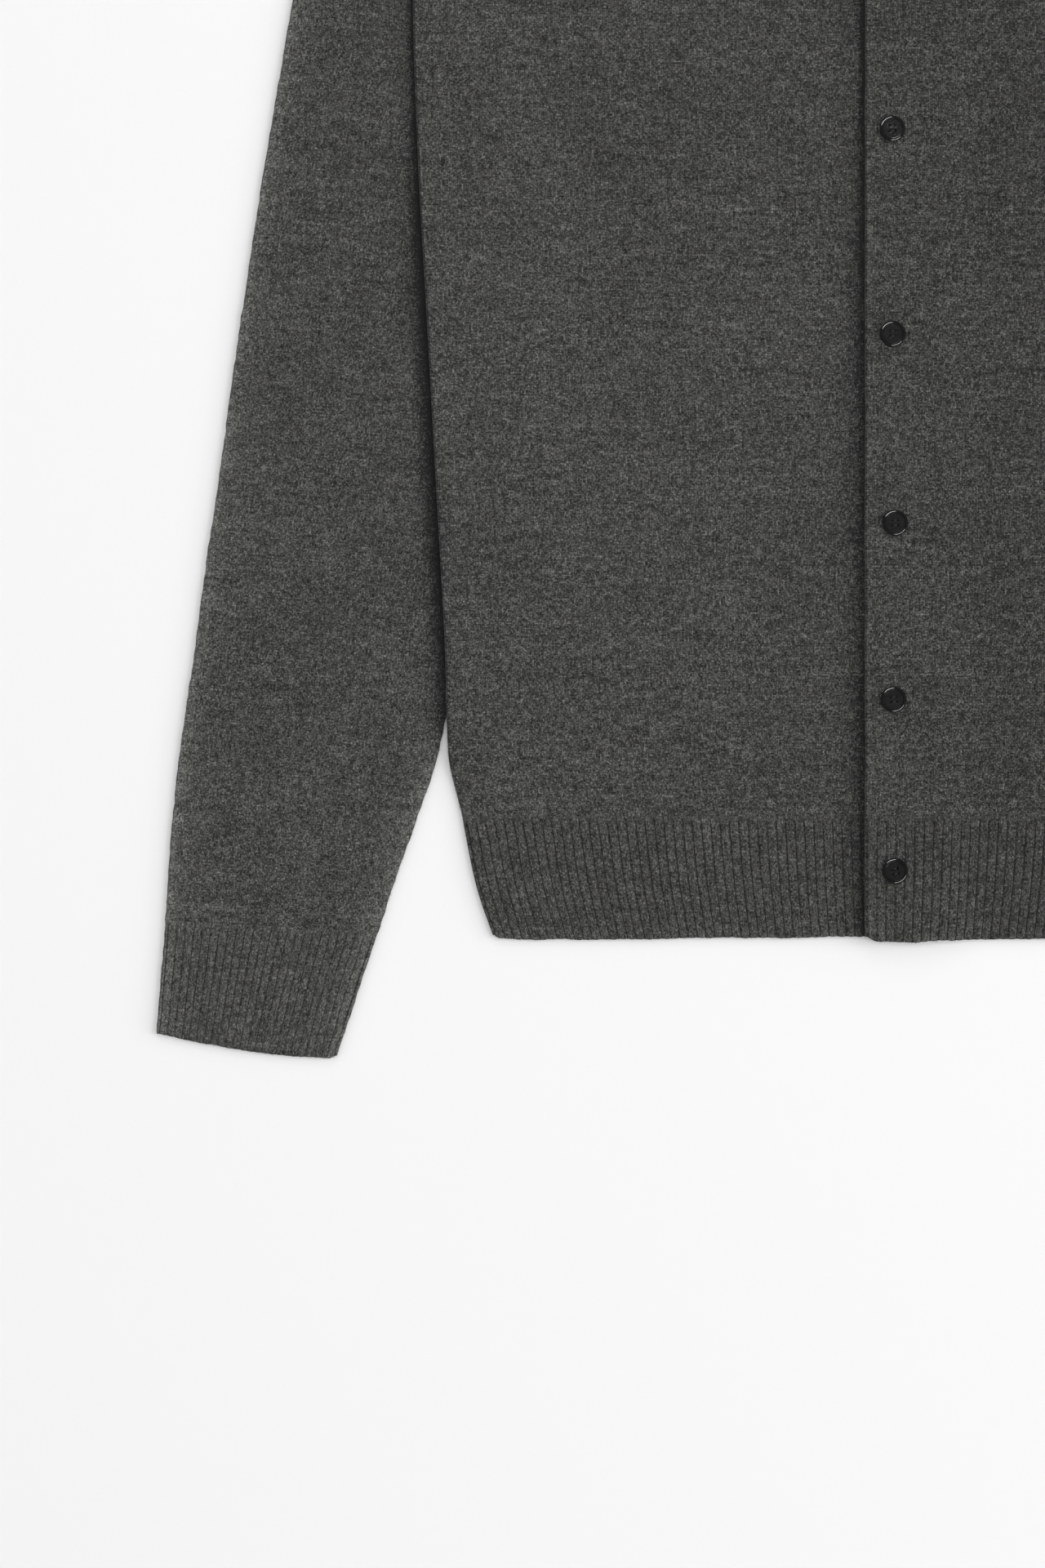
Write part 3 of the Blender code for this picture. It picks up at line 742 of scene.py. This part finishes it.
sleeve = {
    "sections": table(
        "outerX outerY innerX innerY",
        (225.3, 617, 249.5, 528), (250, 609, 249.5, 520), (272, 595, 249.5, 511), (288, 571, 249.5, 501),
        (299, 543, 249.3, 490), (307.7, 510.6, 243, 476), (313.5, 480, 231, 461), (326.4, 404.3, 205, 404),
        (339.6, 319, 197, 318), (351.5, 234, 205, 226), (357, 197, 212, 190), (363.4, 149, 222, 148),
        (368.5, 115, 231.8, 115), (371.5, 92, 237.6, 91), (374.5, 64, 247.5, 62), (376.7, 37, 257, 35),
        (378.3, 9.9, 267.6, 3.3), (380.6, -21.0, 277.6, -26.0), (383.0, -48.9, 289.0, -62.6),
    ),
    "cuffFrom": 16,  # the section where the rib starts
    "armholeFade": 4,
    "bow": 2.5,
    "corner": 5.0,
    "ribs": 24,
    "ribSteps": 8, "cell": 2.6, "cuffCell": 2.4, "acrossTop": 60, "acrossBottom": 34,
    "loop": 0.1, "endWaver": 0.22, "uneven": 0.07, "edgeWaver": 0.32, "armholeGap": 0.1,
    "halfShade": table("y depth", (80, 0), (130, 0.4), (190, 0.65), (330, 0.8), (400, 0.35), (447, 0)),
    "halfShadeReach": 6.2,
    # painted shade towards the shoulder, painted light towards the cuff
    "toneAndShadeAlong": table("y shade", (-70, -0.05), (64, -0.03), (250, 0.02), (430, 0.08), (620, 0.08)),
    "outerFoldHighlight": ((0.40, 7.5), (0.42, 1.6), (0.1, 20)),  # painted highlight beside the outer fold: how much paler, and how far in
    # painted highlight beside the inner free edge, below the height given
    "innerPale": (0.58, 7.5), "innerPaleBelow": 125.0, "cuffPale": 0.06,
    "creases": table(
        "x y length turn width height",
        (300, 430, 40, 96, 9, 0.35), (262, 260, 60, 84, 11, 0.3), (330, 170, 45, 92, 9, 0.3), (290, 90, 30, 70, 8, 0.3),
    ),
}
sections = dict(sleeve["sections"], row=np.arange(len(sleeve["sections"]["outerX"])))


def sectionEnds(end, row):
    return np.stack([read(sections, "row", end + axis, row) for axis in "XY"], -1)


def alongTube(first, last, spacing):  # section numbers evenly spaced along the sleeve
    t = np.linspace(first, last, 900)
    run = runAlong((sectionEnds("outer", t) + sectionEnds("inner", t)) / 2)
    length = np.linspace(0, run[-1], max(int(run[-1] / spacing), 2) + 1)
    return np.interp(length, run, t), length


def makeTube(kind, hand, isRib):
    side, r = body["fronts"][hand]["side"], garment["foldRadius"]
    first, last = (sleeve["cuffFrom"], sections["row"][-1]) if isRib else (0, sleeve["cuffFrom"])
    t, length = alongTube(first, last, sleeve["cuffCell" if isRib else "cell"])
    inset = r + cadWall(isRib) / 2
    ends = []
    for name, way in (("outer", -1), ("inner", 1)):
        before, at, after = (sectionEnds(name, t + d) for d in (-0.02, 0, 0.02))
        step = unit(after - before)
        out = np.stack([step[:, 1], -step[:, 0]], -1) * way
        ends.append((at - out * inset, out))
    (start, startOut), (end, endOut) = ends
    steps = [sleeve["ribs"] * sleeve["ribSteps"]] * 2 if isRib else (sleeve["acrossTop"], sleeve["acrossBottom"])
    quarter, half = np.linspace(0, math.pi / 2, 5), np.linspace(math.pi / 2, -math.pi / 2, 9)
    top, bottom = np.linspace(1, 0, steps[0] + 1), np.linspace(0, 1, steps[1] + 1)
    top = closerAtFurrows(top, sleeve["ribs"]) if isRib else top
    q = np.concatenate([0 * quarter[:-1] + 1, top, 0 * half[1:-1], bottom, 0 * quarter[1:] + 1])[None]
    angle = [quarter[:-1], 0 * top + math.pi / 2, half[1:-1], 0 * bottom - math.pi / 2, -quarter[::-1][1:]]
    angle = np.concatenate(angle)[None]
    plan = start[:, None] + (end - start)[:, None] * q[..., None]
    out = np.where(q[..., None] > 0.5, endOut[:, None], startOut[:, None])
    if not isRib:  # the upper rows follow the armhole
        stations = np.linspace(0, 1, 5)
        y = shoulderY + (body["underarm"] - shoulderY) * stations
        moves = np.stack([armholeX(y) + sleeve["armholeGap"], y], -1)
        moves -= start[0] + (end[0] - start[0]) * stations[:, None]
        moves[[0, -1]] = 0
        fade = np.clip(1 - t / sleeve["armholeFade"], 0, 1)[:, None]
        for k in (0, 1):
            plan[..., k] += np.interp(q, stations, moves[:, k]) * fade
    waver = waves(plan[..., 0] * 0.3, plan[..., 1], seed=41, longest=34, shortest=7) * np.cos(angle)
    plan += out * (r * np.cos(angle) + sleeve["edgeWaver"] * waver)[..., None]
    width = np.linalg.norm(end - start, axis=1)[:, None]
    onTop = np.sin(angle) > 0.5
    turnAt = len(quarter) + len(top) + len(half) // 2 - 2
    way = np.where(np.arange(q.shape[1]) < turnAt, -1, 1)
    bend = r * math.pi / 2 + np.where(q < 0.5, -1, 1) * r * (math.pi / 2 - np.abs(angle))
    if isRib:
        v = length[:, None] + 0 * q
        u = way * (q * sleeve["ribs"] * garment["ribPitch"] + bend) + r * math.pi / 2 + 0 * v
        furrow = ease(v / garment["ribFade"])
        relief = ribRelief(u, furrow)
        toEnd, left = np.clip(t - first - 1, 0, 1)[:, None], length[-1] - v
        fromInner = np.maximum((1 - q) * width + inset - r * np.cos(angle) * (q > 0.5), 0)
        corner = roundedCorner(sleeve["corner"], fromInner) * np.clip(1 - left / garment["cornerHeight"], 0, 1)
        loops = sleeve["loop"] * np.cos(2 * math.pi * u / garment["ribPitch"]) * np.exp(-left / 4)
        uneven = waves(plan[..., 0], 0 * u, seed=31, longest=40, shortest=7)
        loops = loops + sleeve["endWaver"] * uneven * np.exp(-left / 4)
        plan[..., 1] += corner - sleeve["bow"] * np.sin(math.pi * q) * toEnd + loops
    else:
        u, furrow = way * (q * width + bend), 0 * q
        fromCuff = np.cumsum(np.linalg.norm(np.diff(plan, axis=0), axis=2)[::-1], axis=0)[::-1]
        v = length[-1] - np.concatenate([fromCuff, 0 * q])
        x, y = plan[..., 0], plan[..., 1]
        uneven = sleeve["uneven"] * waves(x, y, seed=21, longest=70, shortest=18)
        relief = (creases(x, y, sleeve["creases"]) + uneven) * onTop
    z = middleHeight(v * isRib) + garment["layerRise"] / 2 + r * np.sin(angle)
    normal = np.concatenate([out * np.cos(angle)[..., None], (np.sin(angle) + 0 * u)[..., None]], -1)
    points = np.concatenate([plan, z[..., None]], -1) + normal * relief[..., None]
    y = points[..., 1]
    past = np.maximum(points[..., 0] - halfWidth(y), 0)
    # painted shade on the sleeve beside the body's edge, painted shade towards the top and painted light towards the
    # cuff
    shade = creviceShade(past, y) * rideShare(y) + read(sleeve["toneAndShadeAlong"], "y", "shade", y)
    shade += read(sleeve["halfShade"], "y", "depth", y) * np.exp(-(past / sleeve["halfShadeReach"]) ** 3)
    # painted highlight along the outer fold and the inner free edge
    shade -= sum(pale * np.exp(-q * width / reach) for pale, reach in sleeve["outerFoldHighlight"])
    pale, reach = sleeve["innerPale"]
    shade -= pale * np.exp(-(1 - q) * width / reach) * ease((sleeve["innerPaleBelow"] - y) / 30)
    shade = (shade - sleeve["cuffPale"] * isRib) * onTop
    points[..., 0] *= side
    flat = np.stack([u, v], -1)
    makeCloth(f"{kind}_{hand}", points, flat, isRib, side > 0, closed=True, shade=shade, furrow=furrow)


for hand in body["fronts"]:
    for kind, isRib in (("sleeve", False), ("cuff", True)):
        makeTube(kind, hand, isRib)
print("sleeves ready")


# neckband: from its upper end at the centre front, round the neck, to its lower end

neckband = {
    "width": 24.0, "lean": math.radians(52),
    "rows": 9, "ribSteps": 8, "ribFade": 3.0,
    "furrowOutside": 2.0, "furrowInside": 0.35,
}


def neckPath():
    front, r = body["fronts"], garment["foldRadius"]
    lap = body["lap"] - garment["cadWall"] / 2
    turn = np.linspace(math.pi / 2, -math.pi / 2, 41)
    x = [np.linspace(-lap, neckX, 500)[:-1], 0 * turn + neckX, np.linspace(neckX, -neckX, 900)[1:-1],
         0 * turn - neckX, np.linspace(-neckX, lap, 500)[1:]]
    part = np.concatenate([np.full(len(run), k) for k, run in enumerate(x, 1)])
    angle = np.concatenate([0 * x[0], turn, 0 * x[2], -turn, 0 * x[4]])
    x = np.concatenate(x)
    side, share = np.where(x > 0, 1, -1), np.abs(x) / neckX
    isBack, isTurn = part == 3, (part == 2) | (part == 4)
    seam = np.stack([x, np.where(isBack, topY(x, "back"), topY(x, "front"))], -1)
    lean = neckband["lean"] * share ** np.where(isBack, 2, 1.5)
    inwards = np.stack([-side * np.sin(lean), np.cos(lean)], -1)
    outwards = np.stack([side * np.cos(lean), np.sin(lean)], -1) * isTurn[:, None]
    layer = np.where(part < 3, frontLayer(x, front["left"]), frontLayer(x, front["right"]))
    height = np.where(isBack, 0, layer) * garment["layerRise"]
    height = np.where(isTurn, r + r * np.sin(angle), height)
    near = seam + outwards * (r * np.cos(angle))[:, None]
    far = near + inwards * neckband["width"]
    up = np.where(isTurn, np.sin(angle), np.where(isBack, -1, 1))
    return np.concatenate([near, far, height[:, None], outwards * np.cos(angle)[:, None], up[:, None]], -1)


def makeNeckband():
    path = neckPath()
    run = runAlong(np.concatenate([(path[:, 0:2] + path[:, 2:4]) / 2, path[:, 4:5]], -1))
    ribs = round(run[-1] / garment["ribPitch"])
    at = closerAtFurrows(np.linspace(0, 1, ribs * neckband["ribSteps"] + 1), ribs) * run[-1]
    path = np.stack([np.interp(at, run, column) for column in path.T], -1)[None]
    down = np.linspace(0, 1, neckband["rows"] + 1)[:, None]
    plan = path[..., 0:2] + (path[..., 2:4] - path[..., 0:2]) * down[..., None]
    u = at[None, :] / run[-1] * ribs * garment["ribPitch"] + 0 * down
    v = down * neckband["width"] + 0 * u
    height = garment["ribMiddle"] + path[..., 4] + 0 * u
    furrow = ease(v / neckband["ribFade"])
    points = np.concatenate([plan, height[..., None]], -1) + path[..., 5:8] * ribRelief(u, furrow)[..., None]
    furrow = furrow * np.interp(path[..., 7], [-1, 1], [neckband["furrowInside"], neckband["furrowOutside"]])
    makeCloth("neckband", points, np.stack([u, v], -1), True, False, furrow=furrow)
    print("neckband ready", round(run[-1]))


makeNeckband()


# fuzz: short fibres that stand out from the folded edges and the free ends

fuzz = {
    "counts": {
        "sleeve_right": 3000, "sleeve_left": 3000, "cuff_right": 1000, "cuff_left": 1000,
        "front_right_hem_rib": 600, "front_left_hem_rib": 600, "front_right": 400, "front_left": 400,
    },
    "firstSeed": 71,
    "shortest": 0.45, "longest": 1.6, "radius": 0.045, "sunk": 0.08, "lean": 0.75, "curl": 0.4,
    "rings": ((0, 1.0), (0.55, 0.6)),  # share of the length, share of the radius
    "steepest": 0.8,  # faces that look further up or down than this grow none
    "floor": 0.05, "bodyFrom": 150.0, "bodyBelow": 130.0,
    "dark": (0.05, 0.05, 0.047), "pale": (0.17, 0.17, 0.16),
}


def triangleData(triangles, key, width, kind=float):
    values = np.empty(len(triangles) * width, kind)
    triangles.foreach_get(key, values)
    return values.reshape(-1, width)


def edgeTriangles(node, isRib):  # the outward faces of the folds and of the ribs' free ends
    mesh, isBody = pieces[node].data, node.startswith("front")
    mesh.calc_loop_triangles()
    corners = triangleData(mesh.vertices, "co", 3)[triangleData(mesh.loop_triangles, "vertices", 3, int)] / mm
    normals = triangleData(mesh.loop_triangles, "normal", 3)
    x, y = corners.mean(axis=1).T[:2]
    band = np.round(y / 10).astype(int)
    band -= band.min()
    centre = (np.bincount(band, x) / np.maximum(np.bincount(band), 1))[band]
    folds = (normals[:, 0] * (x - centre) > 0) & (np.abs(normals[:, 1]) < 0.7)
    if isBody:
        folds &= np.abs(x) > fuzz["bodyFrom"]
    chosen = (folds | (normals[:, 1] < -0.5)) & (np.abs(normals[:, 2]) < fuzz["steepest"])
    if not isRib:  # the seam towards the rib is no free end
        chosen &= normals[:, 1] > -0.5
    if isBody and not isRib:  # above, the body's edge lies on the sleeve
        chosen &= corners[:, 0, 1] + garment["middleY"] < fuzz["bodyBelow"]
    return corners[chosen], normals[chosen], triangleData(mesh.loop_triangles, "area", 1)[chosen, 0]


def makeFuzz(node, count, seed):
    draw = np.random.default_rng(seed)
    isRib = "rib" in node or "cuff" in node
    corners, normals, areas = edgeTriangles(node, isRib)
    picked = draw.choice(len(areas), count, p=areas / areas.sum())
    share = draw.dirichlet((1, 1, 1), count)
    root = (corners[picked] * share[..., None]).sum(axis=1) - normals[picked] * fuzz["sunk"]
    aim = unit(normals[picked] + fuzz["lean"] * draw.normal(size=(count, 3)) * (1, 1, 0.5))
    length = (fuzz["shortest"] + (fuzz["longest"] - fuzz["shortest"]) * draw.random(count) ** 2)[:, None]
    first = unit(np.cross(aim, (0.31, 0.17, 0.93)))
    second = np.cross(aim, first)
    curl = fuzz["curl"] * draw.normal(size=(count, 1)) * first * length
    points = []
    for along, radius in fuzz["rings"]:
        middle = root + aim * length * along + curl * along ** 2
        for turn in (0, 2 * math.pi / 3, 4 * math.pi / 3):
            points.append(middle + (first * math.cos(turn) + second * math.sin(turn)) * fuzz["radius"] * radius)
    points = np.stack([*points, root + aim * length + curl], axis=1)
    points[..., 2] = np.maximum(points[..., 2], fuzz["floor"])
    sides = ((0, 1), (1, 2), (2, 0))
    spike = [(0, 2, 1)] + [(a, b, b + 3, a + 3) for a, b in sides] + [(a + 3, b + 3, 6) for a, b in sides]
    faces = [tuple(corner + 7 * k for corner in face) for k in range(count) for face in spike]
    newPiece(node + "_fuzz", newMesh(node + "_fuzz", points * mm, faces, looseFibres))


looseFibres, tree, shader = newMaterial("looseFibres", Roughness=0.9)
tone = noise(tree, addNode(tree, "TexCoord").outputs["Object"], 900, 2)
plug(tree, blended(tree, tone, fuzz["dark"], fuzz["pale"]), shader["Base Color"])
for seed, (node, count) in enumerate(fuzz["counts"].items(), fuzz["firstSeed"]):
    makeFuzz(node, count, seed)
print("fuzz ready")


# buttons, their thread and their buttonholes

button = {
    "footRadius": 6.15, "face": 1.75,
    "outline": (  # radius and height, from the foot over the rounded rim down to the face
        (6.55, 0.3), (6.72, 0.75), (6.75, 1.2), (6.68, 1.55), (6.5, 1.87), (6.25, 2.13), (5.95, 2.31), (5.65, 2.4),
        (5.42, 2.37), (5.24, 2.22), (5.14, 2.0), (5.1, 1.75),
    ),
    "rings": ((0.5, 0.12, 0.02), (0.9, 0.14, 0.025)),  # turned lines: in from the one before, half the width, depth
    "facets": 72, "smoothAngle": 32,
    "holeRadius": 0.74, "holeSpread": 1.34, "holeFacets": 20, "holeDepth": 9, "holeEdge": 0.16, "holeAngle": 70,
    "dark": (0.0038, 0.0038, 0.0038), "pale": (0.0078, 0.0078, 0.0075),
    "satinAndPaintedReflection": 1.25, "satinRadius": 5.05,  # painted reflection: how much paler the matt face is painted than the polished rim
    "rough": (0.06, 0.1, 0.1),  # of the polished rim, and what wear and the matt face add
    "wearDepth": 0.00003, "wearStrength": 0.3,
    "places": table(  # middle, turn and the slopes to the right and to the top in degrees
        "x y turn slopeX slopeY",
        (0.0, 542.0, 4, 0.8, -1.0), (-0.4, 421.0, 2, 2.2, 1.4), (-0.2, 314.5, 1, 1.6, 1.6), (1.1, 216.4, 3, 0.4, 1.2),
        (0.3, 124.7, 6, 0.2, 1.0), (1.1, 35.7, 10, -0.8, 1.2),
    ),
}
thread = {
    "radius": 0.15, "shank": 0.5, "inwards": 0.42, "steps": 26, "twist": 0.9, "plyDepth": 0.0001,
    "plane": (0.9, 0.1, 0.42),  # a way that no thread runs, from which the places round it are counted
    "cord": 0.36, "whip": 0.75,  # the stitched edge of a buttonhole
    "holeLength": 14.2, "holeGap": 0.25, "holeSteps": 220, "holeUp": 0.6, "holeLift": -0.12,
    "sides": 8, "tip": 0.35,
    "finish": {"Roughness": 0.85, "Specular IOR Level": 0.2},
}


def widen(to, of):
    bpy.ops.transform.resize(value=(to / of, to / of, 1), center_override=(0, 0, 0))


def raiseBy(height):
    bpy.ops.transform.translate(value=(0, 0, height * mm))


def makeButtonBlank():
    b = button
    bpy.ops.object.select_all(action="DESELECT")
    radius, height = b["outline"][0]
    bpy.ops.mesh.primitive_cylinder_add(
        vertices=b["facets"], radius=b["footRadius"] * mm, depth=height * mm, location=(0, 0, height / 2 * mm)
    )
    blank = bpy.context.object
    bpy.ops.object.transform_apply(location=True)
    bpy.ops.object.mode_set(mode="EDIT")
    bpy.ops.mesh.select_mode(type="FACE")
    shape = bmesh.from_edit_mesh(blank.data)
    for face in shape.faces:
        face.select_set(face.normal.z > 0.9)
    bmesh.update_edit_mesh(blank.data)
    widen(radius, b["footRadius"])
    for nextRadius, nextHeight in b["outline"][1:]:
        bpy.ops.mesh.extrude_region_move(TRANSFORM_OT_translate={"value": (0, 0, (nextHeight - height) * mm)})
        widen(nextRadius, radius)
        radius, height = nextRadius, nextHeight
    for inwards, width, depth in b["rings"]:
        bpy.ops.mesh.inset(thickness=inwards * mm)
        for change in (-depth, depth):
            bpy.ops.mesh.inset(thickness=width * mm)
            raiseBy(change)
    bpy.ops.object.mode_set(mode="OBJECT")
    for x, y in ((-1, -1), (1, -1), (1, 1), (-1, 1)):
        bpy.ops.object.select_all(action="DESELECT")
        bpy.ops.mesh.primitive_cylinder_add(
            vertices=b["holeFacets"], radius=b["holeRadius"] * mm, depth=b["holeDepth"] * mm,
            location=(x * b["holeSpread"] * mm, y * b["holeSpread"] * mm, 0),
        )
        pin = bpy.context.object
        applyModifier(blank, "BOOLEAN", operation="DIFFERENCE", solver="EXACT", object=pin)
        bpy.data.objects.remove(pin)
    applyModifier(
        blank, "BEVEL", width=b["holeEdge"] * mm, segments=2, limit_method="ANGLE",
        angle_limit=math.radians(b["holeAngle"]),
    )
    bpy.ops.object.shade_smooth_by_angle(angle=math.radians(b["smoothAngle"]))
    points = np.array([v.co for v in blank.data.vertices]) / mm
    satinAndPaintedReflection = ease((b["satinRadius"] + 0.2 - np.hypot(points[:, 0], points[:, 1])) / 0.3)
    satinAndPaintedReflection = satinAndPaintedReflection * (points[:, 2] > b["face"] - 0.3)
    blank.data.attributes.new("satinAndPaintedReflection", "FLOAT", "POINT").data.foreach_set("value", satinAndPaintedReflection)
    blank.data.materials.clear()
    blank.data.materials.append(makeResin())
    print("button ready", len(blank.data.polygons))
    return blank


def makeResin():  # clouded near-black resin, polished, with fine wear
    material, tree, shader = newMaterial("darkResin")
    plus, minus, times = shorthands(tree, "ADD", "SUBTRACT", "MULTIPLY")
    place = addNode(tree, "TexCoord").outputs["Object"]
    cloud = noise(tree, place, 210, 4, 0.6, (0.6, 1.5, 1))
    wear = noise(tree, place, 2600, 3, 0.6)
    colour = blended(tree, times(minus(cloud, 0.35), 2.6), button["dark"], button["pale"])
    satinAndPaintedReflection = attribute(tree, "satinAndPaintedReflection")
    # painted reflection: the matt face's colour is made paler; its extra roughness is real
    paler = plus(times(satinAndPaintedReflection, button["satinAndPaintedReflection"] - 1), 1.0)
    plug(tree, vectorMaths(tree, "SCALE", colour, None, None, paler), shader["Base Color"])
    polished, worn, matt = button["rough"]
    plug(tree, plus(plus(polished, times(wear, worn)), times(satinAndPaintedReflection, matt)), shader["Roughness"])
    addBump(tree, shader, wear, button["wearDepth"], button["wearStrength"])
    return material


def makeThreadMaterial(name, dark, pale):  # two plies twisted round each other
    material, tree, shader = newMaterial(name, **thread["finish"])
    plus, times, over = shorthands(tree, "ADD", "MULTIPLY", "DIVIDE")
    around, along = addNode(tree, "SeparateXYZ", addNode(tree, "UVMap", uv_map="thread").outputs[0]).outputs[:2]
    turns = plus(around, over(along, thread["twist"] * mm))
    ply = maths(tree, "ABSOLUTE", maths(tree, "SINE", times(turns, 2 * math.pi)))
    fibres = noise(tree, addNode(tree, "TexCoord").outputs["Object"], 3000, 2, 0.6)
    plug(tree, blended(tree, times(plus(ply, fibres), 0.6), dark, pale), shader["Base Color"])
    addBump(tree, shader, ply, thread["plyDepth"])
    return material


def smoothPath(points, count):  # even steps along a curve through the points
    points = np.array(points, float)
    keyed = dict(zip("xyz", points.T), reach=runAlong(points))
    at = np.linspace(0, keyed["reach"][-1], count)
    return np.stack([read(keyed, "reach", axis, at) for axis in "xyz"], -1)


def tubeMesh(name, path, radii, material, closed=False):  # a round thread along a path, its ends rounded off
    sides = thread["sides"]
    if not closed:
        ends = [path[0] + (path[0] - path[1]) * 0.01, path[-1] + (path[-1] - path[-2]) * 0.01]
        path = np.concatenate([[ends[0]], path, [ends[1]]])
        radii = np.concatenate([[thread["tip"] * radii[0]], radii, [thread["tip"] * radii[-1]]])
    before, after = np.roll(path, 1, axis=0), np.roll(path, -1, axis=0)
    if not closed:
        before[0], after[-1] = path[0], path[-1]
    way = unit(after - before)
    across = unit(np.cross(way, thread["plane"]))
    over = np.cross(across, way)
    turn = np.linspace(0, 2 * math.pi, sides, endpoint=False)
    ring = across[:, None] * np.cos(turn)[None, :, None] + over[:, None] * np.sin(turn)[None, :, None]
    points = path[:, None] + ring * radii[:, None, None]
    grid = np.arange(len(path) * sides).reshape(-1, sides)
    low, high = (grid, np.roll(grid, -1, axis=0)) if closed else (grid[:-1], grid[1:])
    faces = np.stack([low, np.roll(low, -1, axis=1), np.roll(high, -1, axis=1), high], -1).reshape(-1, 4).tolist()
    if not closed:
        faces += [grid[0, ::-1].tolist(), grid[-1].tolist()]
    mesh = newMesh(name, points * mm, faces, material)
    corners = np.array([loop.vertex_index for loop in mesh.loops])
    uv = np.stack([np.tile(np.arange(sides) / sides, len(path)), np.repeat(runAlong(path) * mm, sides)], -1)
    mesh.uv_layers.new(name="thread").data.foreach_set("uv", uv[corners].reshape(-1))
    mesh.shade_smooth()
    return mesh


def sewnStrands(material):
    strand, reach = thread["radius"], button["holeSpread"] - thread["inwards"]
    top = button["face"] + strand
    rise = [(reach, -thread["shank"]), (reach, 0.6), (reach, top - 0.3), (reach - 0.25, top)]
    outline = [(-x, z) for x, z in rise] + [(0, top + 0.04)] + rise[::-1]
    meshes = []
    for y in (-button["holeSpread"], button["holeSpread"]):
        for aside in (-1, 1):
            path = smoothPath([(x, y + aside * strand * 0.95, z) for x, z in outline], thread["steps"])
            meshes.append(tubeMesh("strand", path, np.full(len(path), strand), material))
    return meshes


def buttonholeMesh(material):
    half, r = thread["holeLength"] / 2, thread["holeGap"] / 2 + thread["cord"]
    around = np.linspace(0, 2 * math.pi * r + 4 * half, thread["holeSteps"], endpoint=False)
    straight, turn = 2 * half, math.pi * r
    along = around % (straight + turn)
    flip = np.where(around >= straight + turn, -1, 1)
    isStraight = along < straight
    angle = np.where(isStraight, 0, (along - straight) / r)
    x = np.where(isStraight, r, r * np.cos(angle)) * flip
    y = np.where(isStraight, along - half, half + r * np.sin(angle)) * flip
    whip = np.abs(np.sin(math.pi * around / thread["whip"])) ** 0.7
    radii = thread["cord"] * (0.84 + 0.26 * whip)
    return tubeMesh("buttonhole", np.stack([x, y, 0 * x], -1), radii, material, closed=True)


def placedCopy(mesh, name, matrix):
    copy = mesh.copy()
    copy.transform(matrix)
    return newPiece(name, copy)


def sewButtons():
    blank = makeButtonBlank()
    strands = sewnStrands(makeThreadMaterial("sewingThread", (0.012, 0.012, 0.012), (0.04, 0.04, 0.039)))
    hole = buttonholeMesh(makeThreadMaterial("buttonholeYarn", (0.013, 0.013, 0.012), (0.06, 0.06, 0.057)))
    for i, (x, y, turn, slopeX, slopeY) in enumerate(zip(*button["places"].values()), 1):
        isRib = y < body["hemSeam"] or y > body["frontNeck"]
        cloth = cadWall(isRib) + 4 * garment["layerRise"]
        middle = inMetres(np.array([x, y, cloth + garment["seat"]])).tolist()
        lean = Euler((math.radians(slopeY), math.radians(slopeX), math.radians(turn))).to_matrix().to_4x4()
        place = Matrix.Translation(middle) @ lean
        turned = placedCopy(blank.data, f"button_{i}_turned", place)
        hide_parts(f"button_{i}")
        for k, strand in enumerate(strands, 1):
            placedCopy(strand, f"button_{i}_strand_{k}", place)
        low = inMetres(np.array([x, y + thread["holeUp"], cloth + thread["holeLift"]])).tolist()
        placedCopy(hole, f"buttonhole_{i}", Matrix.Translation(low))
    for mesh in strands + [hole]:
        bpy.data.meshes.remove(mesh)
    bpy.data.objects.remove(blank)


sewButtons()
print("buttons sewn on")
